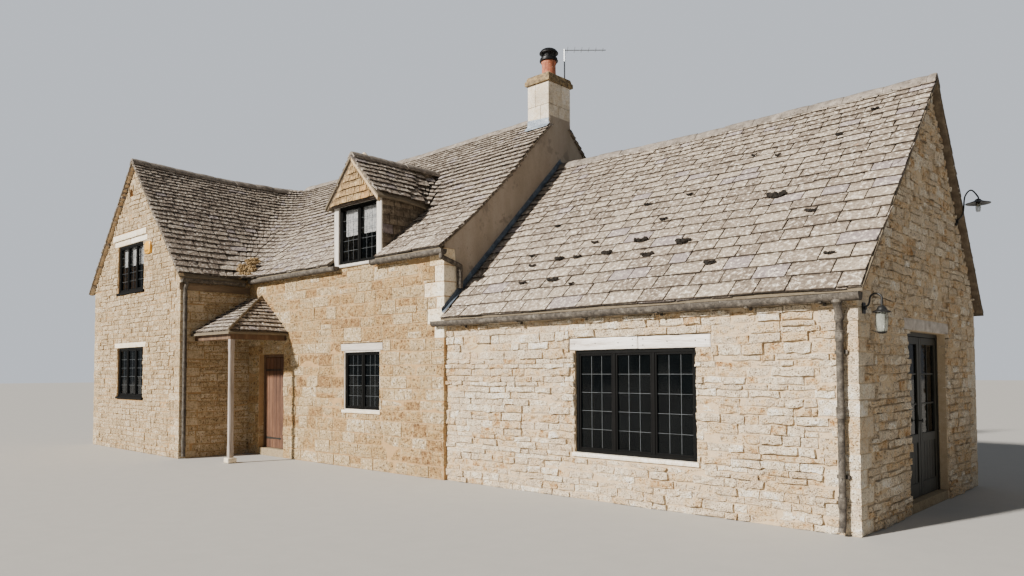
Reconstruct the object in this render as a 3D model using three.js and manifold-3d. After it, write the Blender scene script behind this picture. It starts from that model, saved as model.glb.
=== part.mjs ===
// Limestone cottage with stone-slate roofs, in millimetres: a main range with a dormer,
// a gabled cross-wing on its left, a low east wing on its right and a porch in the corner.
// Plan axes: x = 0 is the outer face of the main range's east gable, y = 0 its front wall
// and z = 0 the ground. The whole group is then moved so that its origin is centred below it.
import * as THREE from 'three';
import { mergeVertices } from 'three/addons/utils/BufferGeometryUtils.js';
import Module from 'manifold-3d';

const wasm = await Module();
wasm.setup();

// Driving dimensions
const wallThickness = 450;
const clearance = 0.3;
const sky = 9000;

const main = { length: 6380, depth: 5946, eave: 3823, ridge: 6750, overhang: 140, verge: 50 };
const wing = { width: 4828, front: -1524, eave: 3771, ridge: 6598, overhang: 165, verge: 106 };
const east = {
  length: 6474, front: 65, back: 5046, eave: 2661, ridge: 5713, ridgeY: 2963, overhang: 141, verge: 106,
};

const mainRidgeReach = 56;
const roofThickness = 170;
const slateEdge = 80;
const upperFloor = { bottom: 2550, top: 2750 };
const groundFloorTop = 150;
const eastFloorTop = 120;

const dormer = { left: -3140, right: -1670, sill: 3710, eave: 4930, ridge: 5800, halfSpan: 830, verge: 150 };
const dormerSill = { thick: 55, reach: 45 };
const dormerHead = 50;
const dormerGableReach = 100;
const dormerPost = 135;
const dormerRoofThickness = 90;
const dormerDepth = 1100;
const dormerFrameDepth = 120;
const dormerCheek = 80;

const chimney = { left: -520, front: 2650, back: 3298, foot: 6000, top: 7285, capTop: 7465 };

const porch = { right: -4750, front: -1300, eave: 2570, top: 3390, ridgeEnd: -5850 };
const porchRoofThickness = 70;
const porchTimber = 90;

const frontDoor = { left: -5930, right: -4930, top: 2130 };
const gableDoor = { front: 1750, back: 3400, top: 2240 };
const doorClearance = 7;
const doorThickness = 45;

const windowRecess = 30;
const windowFrame = { depth: 60, border: 50, mullion: 45, sheet: 10 };

// Derived positions
const wingRight = -main.length;
const wingLeft = wingRight - wing.width;
const wingRidgeX = (wingLeft + wingRight) / 2;
const mainRidgeY = main.depth / 2;
const mainSlope = (main.ridge - main.eave) / (mainRidgeY + main.overhang);
const wingSlope = (wing.ridge - wing.eave) / (wing.width / 2 + wing.overhang);
const dormerMiddle = (dormer.left + dormer.right) / 2;

// Colours
const colours = {
  rubble: 0xc9b48c, ashlar: 0xd6c7a6, render: 0xb3a68f, slate: 0x8f877b, timber: 0xcfc9bb,
  oak: 0x6b4a2e, black: 0x1d2022, iron: 0x8b8880, terracotta: 0xb4603c, floor: 0xa39a89, amber: 0xd9a92e,
};
const materials = {};
for (const [name, colour] of Object.entries(colours)) {
  const metalness = name === 'iron' ? 0.5 : 0;
  materials[name] = new THREE.MeshStandardMaterial({ color: colour, roughness: 0.85, metalness });
}

const cottage = new THREE.Group();

// A closed three.js geometry as a solid that can be joined and cut
function solid(geometry) {
  const bare = geometry.clone();
  bare.deleteAttribute('normal');
  bare.deleteAttribute('uv');
  const merged = mergeVertices(bare, 1e-3);
  const vertProperties = Float32Array.from(merged.attributes.position.array);
  const triVerts = Uint32Array.from(merged.index.array);
  return new wasm.Manifold(new wasm.Mesh({ numProp: 3, vertProperties, triVerts }));
}

function add(name, material, body) {
  const { vertProperties, triVerts } = body.getMesh();
  const geometry = new THREE.BufferGeometry();
  geometry.setAttribute('position', new THREE.BufferAttribute(vertProperties, 3));
  geometry.setIndex(new THREE.BufferAttribute(triVerts, 1));
  geometry.computeVertexNormals();
  const mesh = new THREE.Mesh(geometry, materials[material]);
  mesh.name = name;
  cottage.add(mesh);
}

function box(x0, x1, y0, y1, z0, z1) {
  const geometry = new THREE.BoxGeometry(x1 - x0, y1 - y0, z1 - z0);
  return solid(geometry.translate((x0 + x1) / 2, (y0 + y1) / 2, (z0 + z1) / 2));
}

// Extrudes an outline along one axis. The outline is (y, z) along x, (x, z) along y and (x, y) along z.
function prism(axis, outline, from, to) {
  const shape = Array.isArray(outline)
    ? new THREE.Shape(outline.map(([a, b]) => new THREE.Vector2(a, b)))
    : outline;
  const settings = { depth: to - from, bevelEnabled: false, curveSegments: 8 };
  const geometry = new THREE.ExtrudeGeometry(shape, settings);
  const turn = {
    x: new THREE.Matrix4().set(0, 0, 1, from, 1, 0, 0, 0, 0, 1, 0, 0, 0, 0, 0, 1),
    y: new THREE.Matrix4().set(1, 0, 0, 0, 0, 0, -1, to, 0, 1, 0, 0, 0, 0, 0, 1),
    z: new THREE.Matrix4().makeTranslation(0, 0, from),
  };
  return solid(geometry.applyMatrix4(turn[axis]));
}

function join(...bodies) {
  return bodies.reduce((whole, body) => whole.add(body));
}

function lower(body, drop) {
  return body.translate([0, 0, -drop]);
}

// Everything under a pitched roof, from the ground up
function gable(axis, low, high, eave, ridgeAt, ridge, from, to) {
  return prism(axis, [[low, 0], [high, 0], [high, eave], [ridgeAt, ridge], [low, eave]], from, to);
}

// A roof is what lies between its upper surface and the same surface lowered. Beyond the
// walls only the slates go on, so the overhangs are thinner.
function roofShell(envelope, plan, thickness) {
  const overhangs = lower(envelope, slateEdge).subtract(plan);
  return envelope.subtract(lower(envelope, thickness)).subtract(overhangs);
}

// Roof envelopes. The main ridge is a little higher than the wing's and ends just past it.
const mainWestEnd = wingRidgeX - mainRidgeReach;
const mainEnvelope = gable('x', -main.overhang, main.depth + main.overhang, main.eave, mainRidgeY, main.ridge,
  mainWestEnd, main.verge);
const wingEnvelope = gable('y', wingLeft - wing.overhang, wingRight + wing.overhang, wing.eave, wingRidgeX,
  wing.ridge, wing.front - wing.verge, main.depth + wing.verge);
const houseEnvelope = mainEnvelope.add(wingEnvelope);
const housePlan = join(
  box(wingLeft, wingRight, wing.front, main.depth, 0, sky),
  box(wingRight, 0, 0, main.depth, 0, sky),
);
const houseSpace = lower(houseEnvelope, roofThickness + clearance);

// The east wing's back slope is steeper than its front one and comes down to the same height.
const eastEnvelope = prism('x', [[east.front - east.overhang, 0], [east.back + east.overhang, 0],
  [east.back + east.overhang, east.eave], [east.ridgeY, east.ridge], [east.front - east.overhang, east.eave]],
0, east.length + east.verge);
const eastPlan = box(0, east.length, east.front, east.back, 0, sky);
const eastSpace = lower(eastEnvelope, roofThickness + clearance);

const dormerEnvelope = gable('y', dormerMiddle - dormer.halfSpan, dormerMiddle + dormer.halfSpan, dormer.eave,
  dormerMiddle, dormer.ridge, -dormer.verge, 2400);
const dormerSpace = lower(dormerEnvelope, dormerRoofThickness + clearance);

// Walls
const upperLight = { left: -9745, right: -8255, bottom: 3600, top: 4700 };
const lowerLight = { left: -9705, right: -8240, bottom: 1200, top: 2325 };
const mainLight = { left: -2800, right: -1700, bottom: 1050, top: 2140 };
const eastLight = { left: 2655, right: 4555, bottom: 630, top: 2040 };
const ventHole = { left: -9100, right: -8925, bottom: 5800, top: 5960, depth: 120 };

function hole(light, y0, y1) {
  return box(light.left, light.right, y0, y1, light.bottom, light.top);
}

// A beam over a light, which reaches past it on its left and right
function lintelBox(light, y, { left, right, height }) {
  return box(light.left - left, light.right + right, y, y + lintelDepth, light.top, light.top + height);
}

const lintelDepth = 150;
const hood = { thick: 140, reach: 40, depth: 110 };
const upperLintelSize = { left: 220, right: 165, height: 130 };
const upperLintel = lintelBox(upperLight, wing.front, upperLintelSize);
const upperHood = box(upperLight.left - upperLintelSize.left, upperLight.right + upperLintelSize.right,
  wing.front - hood.reach, wing.front + hood.depth,
  upperLight.top + upperLintelSize.height, upperLight.top + upperLintelSize.height + hood.thick);
const lowerLintel = lintelBox(lowerLight, wing.front, { left: 195, right: 150, height: 115 });
const mainLintel = lintelBox(mainLight, 0, { left: 90, right: 90, height: 145 });
const eastLintel = lintelBox(eastLight, east.front, { left: 85, right: 205, height: 175 });

function wallBox(x0, x1, y0, y1, bottom = 0) {
  return box(x0, x1, y0, y1, bottom, sky);
}

const wingInnerFront = wing.front + wallThickness;
const innerBack = main.depth - wallThickness;
const wingRearUpper = hole(upperLight, innerBack, main.depth);
const wingRearLower = hole(lowerLight, innerBack, main.depth);

add('wing_front_wall', 'rubble', wallBox(wingLeft, wingRight, wing.front, wingInnerFront)
  .intersect(houseSpace)
  .subtract(hole(upperLight, wing.front, wingInnerFront))
  .subtract(hole(lowerLight, wing.front, wingInnerFront))
  .subtract(hole(ventHole, wing.front, wing.front + ventHole.depth))
  .subtract(upperLintel.add(upperHood))
  .subtract(lowerLintel));
add('wing_west_wall', 'rubble', wallBox(wingLeft, wingLeft + wallThickness, wingInnerFront, innerBack)
  .intersect(houseSpace));
add('wing_rear_wall', 'rubble', wallBox(wingLeft, wingRight, innerBack, main.depth).intersect(houseSpace)
  .subtract(wingRearUpper)
  .subtract(wingRearLower));
add('wing_east_wall', 'rubble', wallBox(wingRight - wallThickness, wingRight, wingInnerFront, wallThickness)
  .intersect(houseSpace));

const dormerGapInWall = box(dormer.left, dormer.right, 0, wallThickness, dormer.sill, sky);
add('main_front_wall_left', 'rubble', wallBox(wingRight, frontDoor.left, 0, wallThickness)
  .intersect(houseSpace));
add('main_wall_over_door', 'rubble', wallBox(frontDoor.left, frontDoor.right, 0, wallThickness, frontDoor.top)
  .intersect(houseSpace));
add('main_front_wall', 'rubble', wallBox(frontDoor.right, 0, 0, wallThickness).intersect(houseSpace)
  .subtract(hole(mainLight, 0, wallThickness))
  .subtract(mainLintel)
  .subtract(dormerGapInWall));
add('main_rear_wall', 'rubble', wallBox(wingRight, 0, innerBack, main.depth).intersect(houseSpace)
  .subtract(hole(mainLight, innerBack, main.depth)));
add('main_gable_wall', 'render', wallBox(-wallThickness, 0, wallThickness, innerBack).intersect(houseSpace)
  .subtract(box(chimney.left, 0, chimney.front, chimney.back, chimney.foot, sky)));

const eastInnerFront = east.front + wallThickness;
const eastInnerBack = east.back - wallThickness;
const eastInnerEnd = east.length - wallThickness;
add('east_front_wall', 'rubble', wallBox(0, east.length, east.front, eastInnerFront).intersect(eastSpace)
  .subtract(hole(eastLight, east.front, eastInnerFront))
  .subtract(eastLintel));
add('east_rear_wall', 'rubble', wallBox(0, east.length, eastInnerBack, east.back).intersect(eastSpace));
add('east_gable_wall_front', 'rubble', wallBox(eastInnerEnd, east.length, eastInnerFront, gableDoor.front)
  .intersect(eastSpace));
add('east_gable_wall_rear', 'rubble', wallBox(eastInnerEnd, east.length, gableDoor.back, eastInnerBack)
  .intersect(eastSpace));
add('east_wall_over_door', 'rubble',
  wallBox(eastInnerEnd, east.length, gableDoor.front, gableDoor.back, gableDoor.top).intersect(eastSpace));

add('wing_upper_lintel', 'ashlar', upperLintel.add(upperHood));
add('wing_lower_lintel', 'ashlar', lowerLintel);
add('main_lintel', 'timber', mainLintel);
add('east_lintel', 'timber', eastLintel);

// Floors. Each ground floor runs out through its doorway as the threshold.
const thresholdLap = 10;
const houseInside = [
  [wingLeft + wallThickness, wingInnerFront], [wingRight - wallThickness, wingInnerFront],
  [wingRight - wallThickness, wallThickness], [-wallThickness, wallThickness],
  [-wallThickness, innerBack], [wingLeft + wallThickness, innerBack],
];
add('ground_floor', 'floor', prism('z', houseInside, 0, groundFloorTop)
  .add(box(frontDoor.left, frontDoor.right, 0, wallThickness + thresholdLap, 0, groundFloorTop)));
add('upper_floor', 'oak', prism('z', houseInside, upperFloor.bottom, upperFloor.top));
add('east_floor', 'floor', box(0, eastInnerEnd, eastInnerFront, eastInnerBack, 0, eastFloorTop)
  .add(box(eastInnerEnd - thresholdLap, east.length, gableDoor.front, gableDoor.back, 0, eastFloorTop)));

// Roofs. The valleys are upright cuts along the lines where the two roofs are equally high.
function valleyX(y) {
  const height = main.ridge - mainSlope * Math.abs(y - mainRidgeY);
  return wingRidgeX + (wing.ridge - height) / wingSlope;
}

function mainZone(inset) {
  const edge = main.overhang + 60;
  const atRidge = (main.ridge - wing.ridge) / mainSlope;
  const atEnd = atRidge + ((wingRidgeX - mainWestEnd) * wingSlope) / mainSlope;
  const half = [[valleyX(-edge) + inset, mainRidgeY + edge], [wingRidgeX, atRidge - inset],
    [mainWestEnd + inset, atEnd - 2 * inset]];
  const front = half.map(([x, away]) => [x, mainRidgeY - away]);
  const back = half.map(([x, away]) => [x, mainRidgeY + away]).reverse();
  return prism('z', [[100, -edge], ...front, ...back, [100, main.depth + edge]], 0, sky);
}

const stackGap = box(chimney.left, 100, chimney.front, chimney.back, 0, sky);
const dormerGap = box(dormer.left - clearance, dormer.right + clearance, -500, dormerDepth, 0, sky);
add('wing_roof', 'slate', roofShell(wingEnvelope, housePlan, roofThickness).subtract(mainZone(0)));
add('main_roof', 'slate', roofShell(mainEnvelope, housePlan, roofThickness).intersect(mainZone(2 * clearance))
  .subtract(stackGap)
  .subtract(dormerGap));
add('east_roof', 'slate', roofShell(eastEnvelope, eastPlan, roofThickness));

// Dormer
const dormerCasement = {
  left: dormer.left + dormerPost,
  right: dormer.right - dormerPost,
  bottom: dormer.sill + dormerSill.thick,
  top: dormer.eave - dormerHead,
};
add('dormer_frame', 'timber', join(
  box(dormer.left, dormer.right, 0, dormerFrameDepth, dormer.sill, dormer.eave),
  box(dormer.left, dormer.right, -dormerSill.reach, dormerFrameDepth / 2, dormer.sill, dormerCasement.bottom),
).subtract(hole(dormerCasement, -dormerSill.reach, dormerFrameDepth)));
add('dormer_gable', 'slate',
  box(dormer.left, dormer.right, -dormerGableReach, dormerFrameDepth, dormer.eave, sky).intersect(dormerSpace));
const wallBelowCheeks = houseSpace.subtract(box(dormer.left, dormer.right, 0, wallThickness, 0, sky));
function dormerSide(name, x) {
  add(name, 'slate', box(x, x + dormerCheek, dormerFrameDepth, dormerDepth - clearance, dormer.sill, sky)
    .intersect(dormerSpace)
    .subtract(wallBelowCheeks));
}
dormerSide('dormer_cheek_left', dormer.left);
dormerSide('dormer_cheek_right', dormer.right - dormerCheek);
add('dormer_roof', 'slate', dormerEnvelope.subtract(lower(dormerEnvelope, dormerRoofThickness))
  .subtract(houseEnvelope.translate([0, 0, clearance])));

// Chimney with its weathered cap, clay pot and cowl, and the vent on the ridge
function taperedBox(x0, x1, y0, y1, z0, z1, inset) {
  const geometry = new THREE.BoxGeometry(x1 - x0, y1 - y0, z1 - z0);
  const place = geometry.attributes.position;
  for (let i = 0; i < place.count; i += 1) {
    if (place.getZ(i) > 0) {
      place.setX(i, place.getX(i) - Math.sign(place.getX(i)) * inset);
      place.setY(i, place.getY(i) - Math.sign(place.getY(i)) * inset);
    }
  }
  return solid(geometry.translate((x0 + x1) / 2, (y0 + y1) / 2, (z0 + z1) / 2));
}

// A turned body about an upright axis, from a closed (radius, height) outline
function turned(outline, x, y, segments = 24) {
  const points = outline.map(([radius, height]) => new THREE.Vector2(radius, height));
  points.push(points[0].clone());
  return solid(new THREE.LatheGeometry(points, segments).rotateX(Math.PI / 2).translate(x, y, 0));
}

const flue = { x: chimney.left / 2, y: (chimney.front + chimney.back) / 2 };
const cap = { reach: 45, step: chimney.top + 90, inset: 35 };
add('chimney_stack', 'ashlar', box(chimney.left, 0, chimney.front, chimney.back, chimney.foot, chimney.top));
const capLeft = chimney.left - cap.reach;
const capFront = chimney.front - cap.reach;
const capBack = chimney.back + cap.reach;
add('chimney_cap', 'ashlar', join(
  box(capLeft, cap.reach, capFront, capBack, chimney.top, cap.step),
  taperedBox(capLeft, cap.reach, capFront, capBack, cap.step, chimney.capTop, cap.inset),
));

const pot = { top: 7800, bore: 110, foot: 150, neck: 138, waist: 134, lip: 146, band: 40, splay: 20 };
const potBandTop = chimney.capTop + pot.band;
add('chimney_pot', 'terracotta', turned([
  [pot.bore, chimney.capTop], [pot.foot, chimney.capTop], [pot.foot, potBandTop],
  [pot.neck, potBandTop + pot.splay], [pot.waist, pot.top - pot.band - pot.splay],
  [pot.lip, pot.top - pot.band], [pot.lip, pot.top], [pot.bore, pot.top],
], flue.x, flue.y));

// The cowl is a collar and a lid. Its legs run a little way into both.
const cowl = { collarTop: 7870, underside: 7955, bore: 112, collar: 180, lid: 180 };
const cowlLeg = { count: 6, circle: 122, half: 8, lap: 10 };
const cowlLegs = [];
for (let i = 0; i < cowlLeg.count; i += 1) {
  const angle = (i * 2 * Math.PI) / cowlLeg.count;
  const x = flue.x + cowlLeg.circle * Math.cos(angle);
  const y = flue.y + cowlLeg.circle * Math.sin(angle);
  cowlLegs.push(box(x - cowlLeg.half, x + cowlLeg.half, y - cowlLeg.half, y + cowlLeg.half,
    cowl.collarTop - cowlLeg.lap, cowl.underside + cowlLeg.lap));
}
add('chimney_cowl', 'black', join(
  turned([[cowl.bore, pot.top], [cowl.collar, pot.top], [cowl.collar + 4, pot.top + 20],
    [cowl.collar - 10, cowl.collarTop], [cowl.bore, cowl.collarTop]], flue.x, flue.y),
  turned([[0, cowl.underside], [cowl.lid, cowl.underside], [cowl.lid + 6, cowl.underside + 20],
    [cowl.lid - 30, cowl.underside + 75], [cowl.lid - 100, cowl.underside + 108], [0, cowl.underside + 116]],
  flue.x, flue.y),
  ...cowlLegs,
));

const vent = { x: -6280, foot: 6500, radius: 105, capRadius: 145, capFoot: 7050, capEdge: 30, top: 7200 };
add('ridge_vent', 'ashlar', turned([
  [0, vent.foot], [vent.radius, vent.foot], [vent.radius, vent.capFoot], [vent.capRadius, vent.capFoot],
  [vent.capRadius, vent.capFoot + vent.capEdge], [vent.capEdge, vent.top], [0, vent.top],
], vent.x, mainRidgeY).subtract(houseEnvelope.translate([0, 0, clearance])));

// Aerial on a mast behind the stack, held to it by two clamps
const aerial = { x: -180, y: chimney.back + 62, bottom: 6950, boom: 8130, length: 820, heading: 0.75 };
const aerialArm = { count: 6, first: 60, pitch: 140, longest: 150, shorter: 12, thick: 5 };
const boomHalf = 9;
const mast = { half: 14, aboveBoom: 25 };
const clamp = { half: 30, height: 30, low: aerial.bottom + 40, high: chimney.top - 90 };
const aerialArms = [
  box(-30, aerial.length, -boomHalf, boomHalf, aerial.boom - boomHalf, aerial.boom + boomHalf),
];
for (let i = 0; i < aerialArm.count; i += 1) {
  const along = aerialArm.first + i * aerialArm.pitch;
  const half = aerialArm.longest - i * aerialArm.shorter;
  aerialArms.push(box(along - aerialArm.thick, along + aerialArm.thick, -half, half,
    aerial.boom - aerialArm.thick, aerial.boom + aerialArm.thick));
}
const aerialHead = join(...aerialArms).rotate([0, 0, THREE.MathUtils.radToDeg(aerial.heading)])
  .translate([aerial.x, aerial.y, 0]);
const aerialClamps = [clamp.low, clamp.high].map((z) => box(aerial.x - clamp.half, aerial.x + clamp.half,
  chimney.back, aerial.y, z, z + clamp.height));
add('aerial', 'iron', join(
  box(aerial.x - mast.half, aerial.x + mast.half, aerial.y - mast.half, aerial.y + mast.half,
    aerial.bottom, aerial.boom + mast.aboveBoom),
  ...aerialClamps,
  aerialHead,
));

// Windows: a frame with its mullions, and the panes as one thin sheet held in it
function window(name, light, lights, outerFace, inward) {
  const { depth, border, mullion, sheet } = windowFrame;
  const [y0, y1] = [outerFace, outerFace + inward * depth].sort((a, b) => a - b);
  const clearWidth = light.right - light.left - 2 * border - (lights - 1) * mullion;
  const paneWidth = clearWidth / lights;
  let frame = hole(light, y0, y1);
  for (let i = 0; i < lights; i += 1) {
    const left = light.left + border + i * (paneWidth + mullion);
    frame = frame.subtract(box(left, left + paneWidth, y0, y1, light.bottom + border, light.top - border));
  }
  const middle = (y0 + y1) / 2;
  const panes = box(light.left + border / 2, light.right - border / 2, middle - sheet / 2, middle + sheet / 2,
    light.bottom + border / 2, light.top - border / 2);
  add(name, 'black', frame.add(panes));
}

const dormerWindowRecess = 40;
window('wing_upper_window', upperLight, 3, wing.front + windowRecess, 1);
window('wing_lower_window', lowerLight, 3, wing.front + windowRecess, 1);
window('main_window', mainLight, 2, windowRecess, 1);
window('dormer_window', dormerCasement, 2, dormerWindowRecess, 1);
window('east_window', eastLight, 3, east.front + windowRecess, 1);
window('wing_rear_upper_window', upperLight, 3, main.depth - windowRecess, -1);
window('wing_rear_lower_window', lowerLight, 3, main.depth - windowRecess, -1);
window('main_rear_window', mainLight, 2, main.depth - windowRecess, -1);

// Front door: an oak leaf hung on its left in a frame set back in the doorway
const frontFrame = { border: 60, y0: 110, y1: 190, rebate: 15 };
function doorFrame(axis, low, high, bottom, top, border, from, to) {
  return prism(axis, [
    [low, bottom], [low + border, bottom], [low + border, top - border], [high - border, top - border],
    [high - border, bottom], [high, bottom], [high, top], [low, top],
  ], from, to);
}
add('front_door_frame', 'oak', doorFrame('y', frontDoor.left, frontDoor.right, groundFloorTop, frontDoor.top,
  frontFrame.border, frontFrame.y0, frontFrame.y1));

// Three hinge knuckles about a leaf's upright pivot, which all but touch the frame beside it
const knuckle = { length: 110, fromEnd: 200, radius: doorClearance - clearance };
function knuckles(x, y, bottom, top) {
  const heights = [bottom + knuckle.fromEnd, (bottom + top) / 2, top - knuckle.fromEnd];
  return join(...heights.map((z) => {
    const barrel = new THREE.CylinderGeometry(knuckle.radius, knuckle.radius, knuckle.length, 12);
    return solid(barrel.rotateX(Math.PI / 2).translate(x, y, z));
  }));
}
const leafInset = frontFrame.border + doorClearance;
const frontLeaf = {
  hinge: frontDoor.left + leafInset,
  latch: frontDoor.right - leafInset,
  outer: frontFrame.y0 + frontFrame.rebate,
  inner: frontFrame.y0 + frontFrame.rebate + doorThickness,
  bottom: groundFloorTop + doorClearance,
  top: frontDoor.top - leafInset,
};
add('front_door', 'oak', join(
  box(frontLeaf.hinge, frontLeaf.latch, frontLeaf.outer, frontLeaf.inner, frontLeaf.bottom, frontLeaf.top),
  knuckles(frontLeaf.hinge, frontLeaf.inner, frontLeaf.bottom, frontLeaf.top),
));

// Gable doors: a pair of dark half-glazed leaves that open inwards
const gableFrame = { border: 55, x0: 6300, x1: 6380, rebate: 10 };
const gableLeafSize = { stile: 90, middleRail: 800, sheet: 10, sheetDepth: 17, sheetLap: 20, meetingGap: 8 };
add('gable_door_frame', 'black', doorFrame('x', gableDoor.front, gableDoor.back, eastFloorTop, gableDoor.top,
  gableFrame.border, gableFrame.x0, gableFrame.x1));
const leafX = gableFrame.x1 - gableFrame.rebate - doorThickness;
const leafBottom = eastFloorTop + doorClearance;
const leafTop = gableDoor.top - gableFrame.border - doorClearance;
const leafEdge = gableFrame.border + doorClearance;
function gableLeaf(name, y0, y1, hinge) {
  const { stile, middleRail, sheet, sheetDepth, sheetLap } = gableLeafSize;
  const paneBottom = leafBottom + middleRail;
  const paneTop = leafTop - stile;
  const sheetX = leafX + sheetDepth;
  const pane = box(leafX, leafX + doorThickness, y0 + stile, y1 - stile, paneBottom, paneTop);
  const panes = box(sheetX, sheetX + sheet, y0 + stile - sheetLap, y1 - stile + sheetLap,
    paneBottom - sheetLap, paneTop + sheetLap);
  add(name, 'black', box(leafX, leafX + doorThickness, y0, y1, leafBottom, leafTop)
    .subtract(pane)
    .add(panes)
    .add(knuckles(leafX, hinge, leafBottom, leafTop)));
}
const leafFront = gableDoor.front + leafEdge;
const leafBack = gableDoor.back - leafEdge;
const meeting = (gableDoor.front + gableDoor.back) / 2;
gableLeaf('gable_door_front', leafFront, meeting - gableLeafSize.meetingGap / 2, leafFront);
gableLeaf('gable_door_rear', meeting + gableLeafSize.meetingGap / 2, leafBack, leafBack);

// Porch in the corner: two slopes over a timber plate and a post
const porchFrontSlope = [[porch.front, 0], [0, 0], [0, porch.top], [porch.front, porch.eave]];
const porchSideSlope = [[wingRight, 0], [porch.right, 0], [porch.right, porch.eave],
  [porch.ridgeEnd, porch.top], [wingRight, porch.top]];
const porchEnvelope = prism('x', porchFrontSlope, wingRight, porch.right)
  .intersect(prism('y', porchSideSlope, porch.front, 0));
const porchSpace = lower(porchEnvelope, porchRoofThickness + clearance);
const plateInset = 85;
const plate = { bottom: 2400, right: porch.right - plateInset, front: porch.front + plateInset };
add('porch_roof', 'slate', porchEnvelope.subtract(lower(porchEnvelope, porchRoofThickness)));
add('porch_plate', 'timber', join(
  box(wingRight, plate.right, plate.front, plate.front + porchTimber, plate.bottom, sky),
  box(plate.right - porchTimber, plate.right, plate.front, 0, plate.bottom, sky),
).intersect(porchSpace));
add('porch_post', 'timber',
  box(plate.right - porchTimber, plate.right, plate.front, plate.front + porchTimber, 0, plate.bottom));

// Rainwater goods: half-round gutters on brackets, three of them with a hollow downpipe
const gutter = { radius: 60, side: 25, thick: 6 };
const bracket = { width: 24, thick: 15 };
function gutterRun(axis, across, rim, from, to, wallFace, brackets) {
  const { radius, side, thick } = gutter;
  const centre = rim - side;
  const shape = new THREE.Shape();
  shape.moveTo(across - radius, rim);
  shape.lineTo(across - radius, centre);
  shape.absarc(across, centre, radius, Math.PI, 2 * Math.PI, false);
  shape.lineTo(across + radius, rim);
  shape.lineTo(across + radius - thick, rim);
  shape.lineTo(across + radius - thick, centre);
  shape.absarc(across, centre, radius - thick, 2 * Math.PI, Math.PI, true);
  shape.lineTo(across - radius + thick, rim);
  const start = wallFace < across ? wallFace : across + radius - thick;
  const end = wallFace < across ? across - radius + thick : wallFace;
  const half = bracket.width / 2;
  const top = centre + bracket.thick;
  const arms = brackets.map((at) => (axis === 'x' ? box(at - half, at + half, start, end, centre, top)
    : box(start, end, at - half, at + half, centre, top)));
  return join(prism(axis, shape, from, to), ...arms);
}

const pipeRadius = 40;
const pipeWall = 5;
function rod(start, end, radius) {
  const along = end.clone().sub(start);
  const upright = new THREE.Vector3(0, 1, 0);
  const turn = new THREE.Quaternion().setFromUnitVectors(upright, along.clone().normalize());
  const middle = start.clone().add(end).multiplyScalar(0.5);
  const geometry = new THREE.CylinderGeometry(radius, radius, along.length(), 12);
  return solid(geometry.applyQuaternion(turn).translate(...middle));
}

// A hollow pipe along a path of straight runs
function pipe(points) {
  const bore = pipeRadius - pipeWall;
  const ball = (radius) => (point) => solid(new THREE.SphereGeometry(radius, 12, 8).translate(...point));
  const bends = points.slice(1, -1);
  const outside = points.slice(1).map((point, i) => rod(points[i], point, pipeRadius));
  const inside = points.slice(1).map((point, i) => rod(points[i], point, bore));
  return join(...outside, ...bends.map(ball(pipeRadius))).subtract(join(...inside, ...bends.map(ball(bore))));
}

const vector = (x, y, z) => new THREE.Vector3(x, y, z);

// A downpipe's strap holds it to the wall at one height. The pipe starts inside the gutter's
// trough, drops by the neck, then runs down to its foot.
const shoe = 40;
const outlet = 70;
const neck = 55;
const strap = { height: 40, half: 20 };
const mainGutter = { y: -115, rim: 3735, left: [-6130, -2900], right: [-1800, 125] };
const mainPipe = { x: 65, y: 300, bend: 3500, strap: 3380, foot: 3130 };
add('main_gutter_left', 'iron',
  gutterRun('x', mainGutter.y, mainGutter.rim, ...mainGutter.left, 0, [-6000, -5000, -4000, -3300]));
const mainOutlet = mainGutter.rim - outlet;
add('main_gutter_right', 'iron', join(
  gutterRun('x', mainGutter.y, mainGutter.rim, ...mainGutter.right, 0, [-1500, -800, -100]),
  pipe([
    vector(mainPipe.x, mainGutter.y, mainOutlet),
    vector(mainPipe.x, mainGutter.y, mainOutlet - neck),
    vector(mainPipe.x, mainPipe.y, mainPipe.bend),
    vector(mainPipe.x, mainPipe.y, mainPipe.foot),
  ]),
  box(0, pipeRadius, mainPipe.y - strap.half, mainPipe.y + strap.half, mainPipe.strap,
    mainPipe.strap + strap.height),
));
const wingGutter = { x: wingRight + wing.overhang - 35, rim: 3683, run: [-1560, -190] };
const wingPipe = { x: wingRight + 65, y: -1450, bend: 3480, straps: [2900, 900], strapHalf: 15 };
const wingOutlet = wingGutter.rim - outlet;
const wingStraps = wingPipe.straps.map((z) => box(wingRight, wingPipe.x - 30,
  wingPipe.y - wingPipe.strapHalf, wingPipe.y + wingPipe.strapHalf, z, z + strap.height));
add('wing_gutter', 'iron', join(
  gutterRun('y', wingGutter.x, wingGutter.rim, ...wingGutter.run, wingRight, [-1200, -500]),
  pipe([
    vector(wingGutter.x, wingPipe.y, wingOutlet),
    vector(wingGutter.x, wingPipe.y, wingOutlet - neck),
    vector(wingPipe.x, wingPipe.y, wingPipe.bend),
    vector(wingPipe.x, wingPipe.y, shoe),
  ]),
  ...wingStraps,
));

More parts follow.
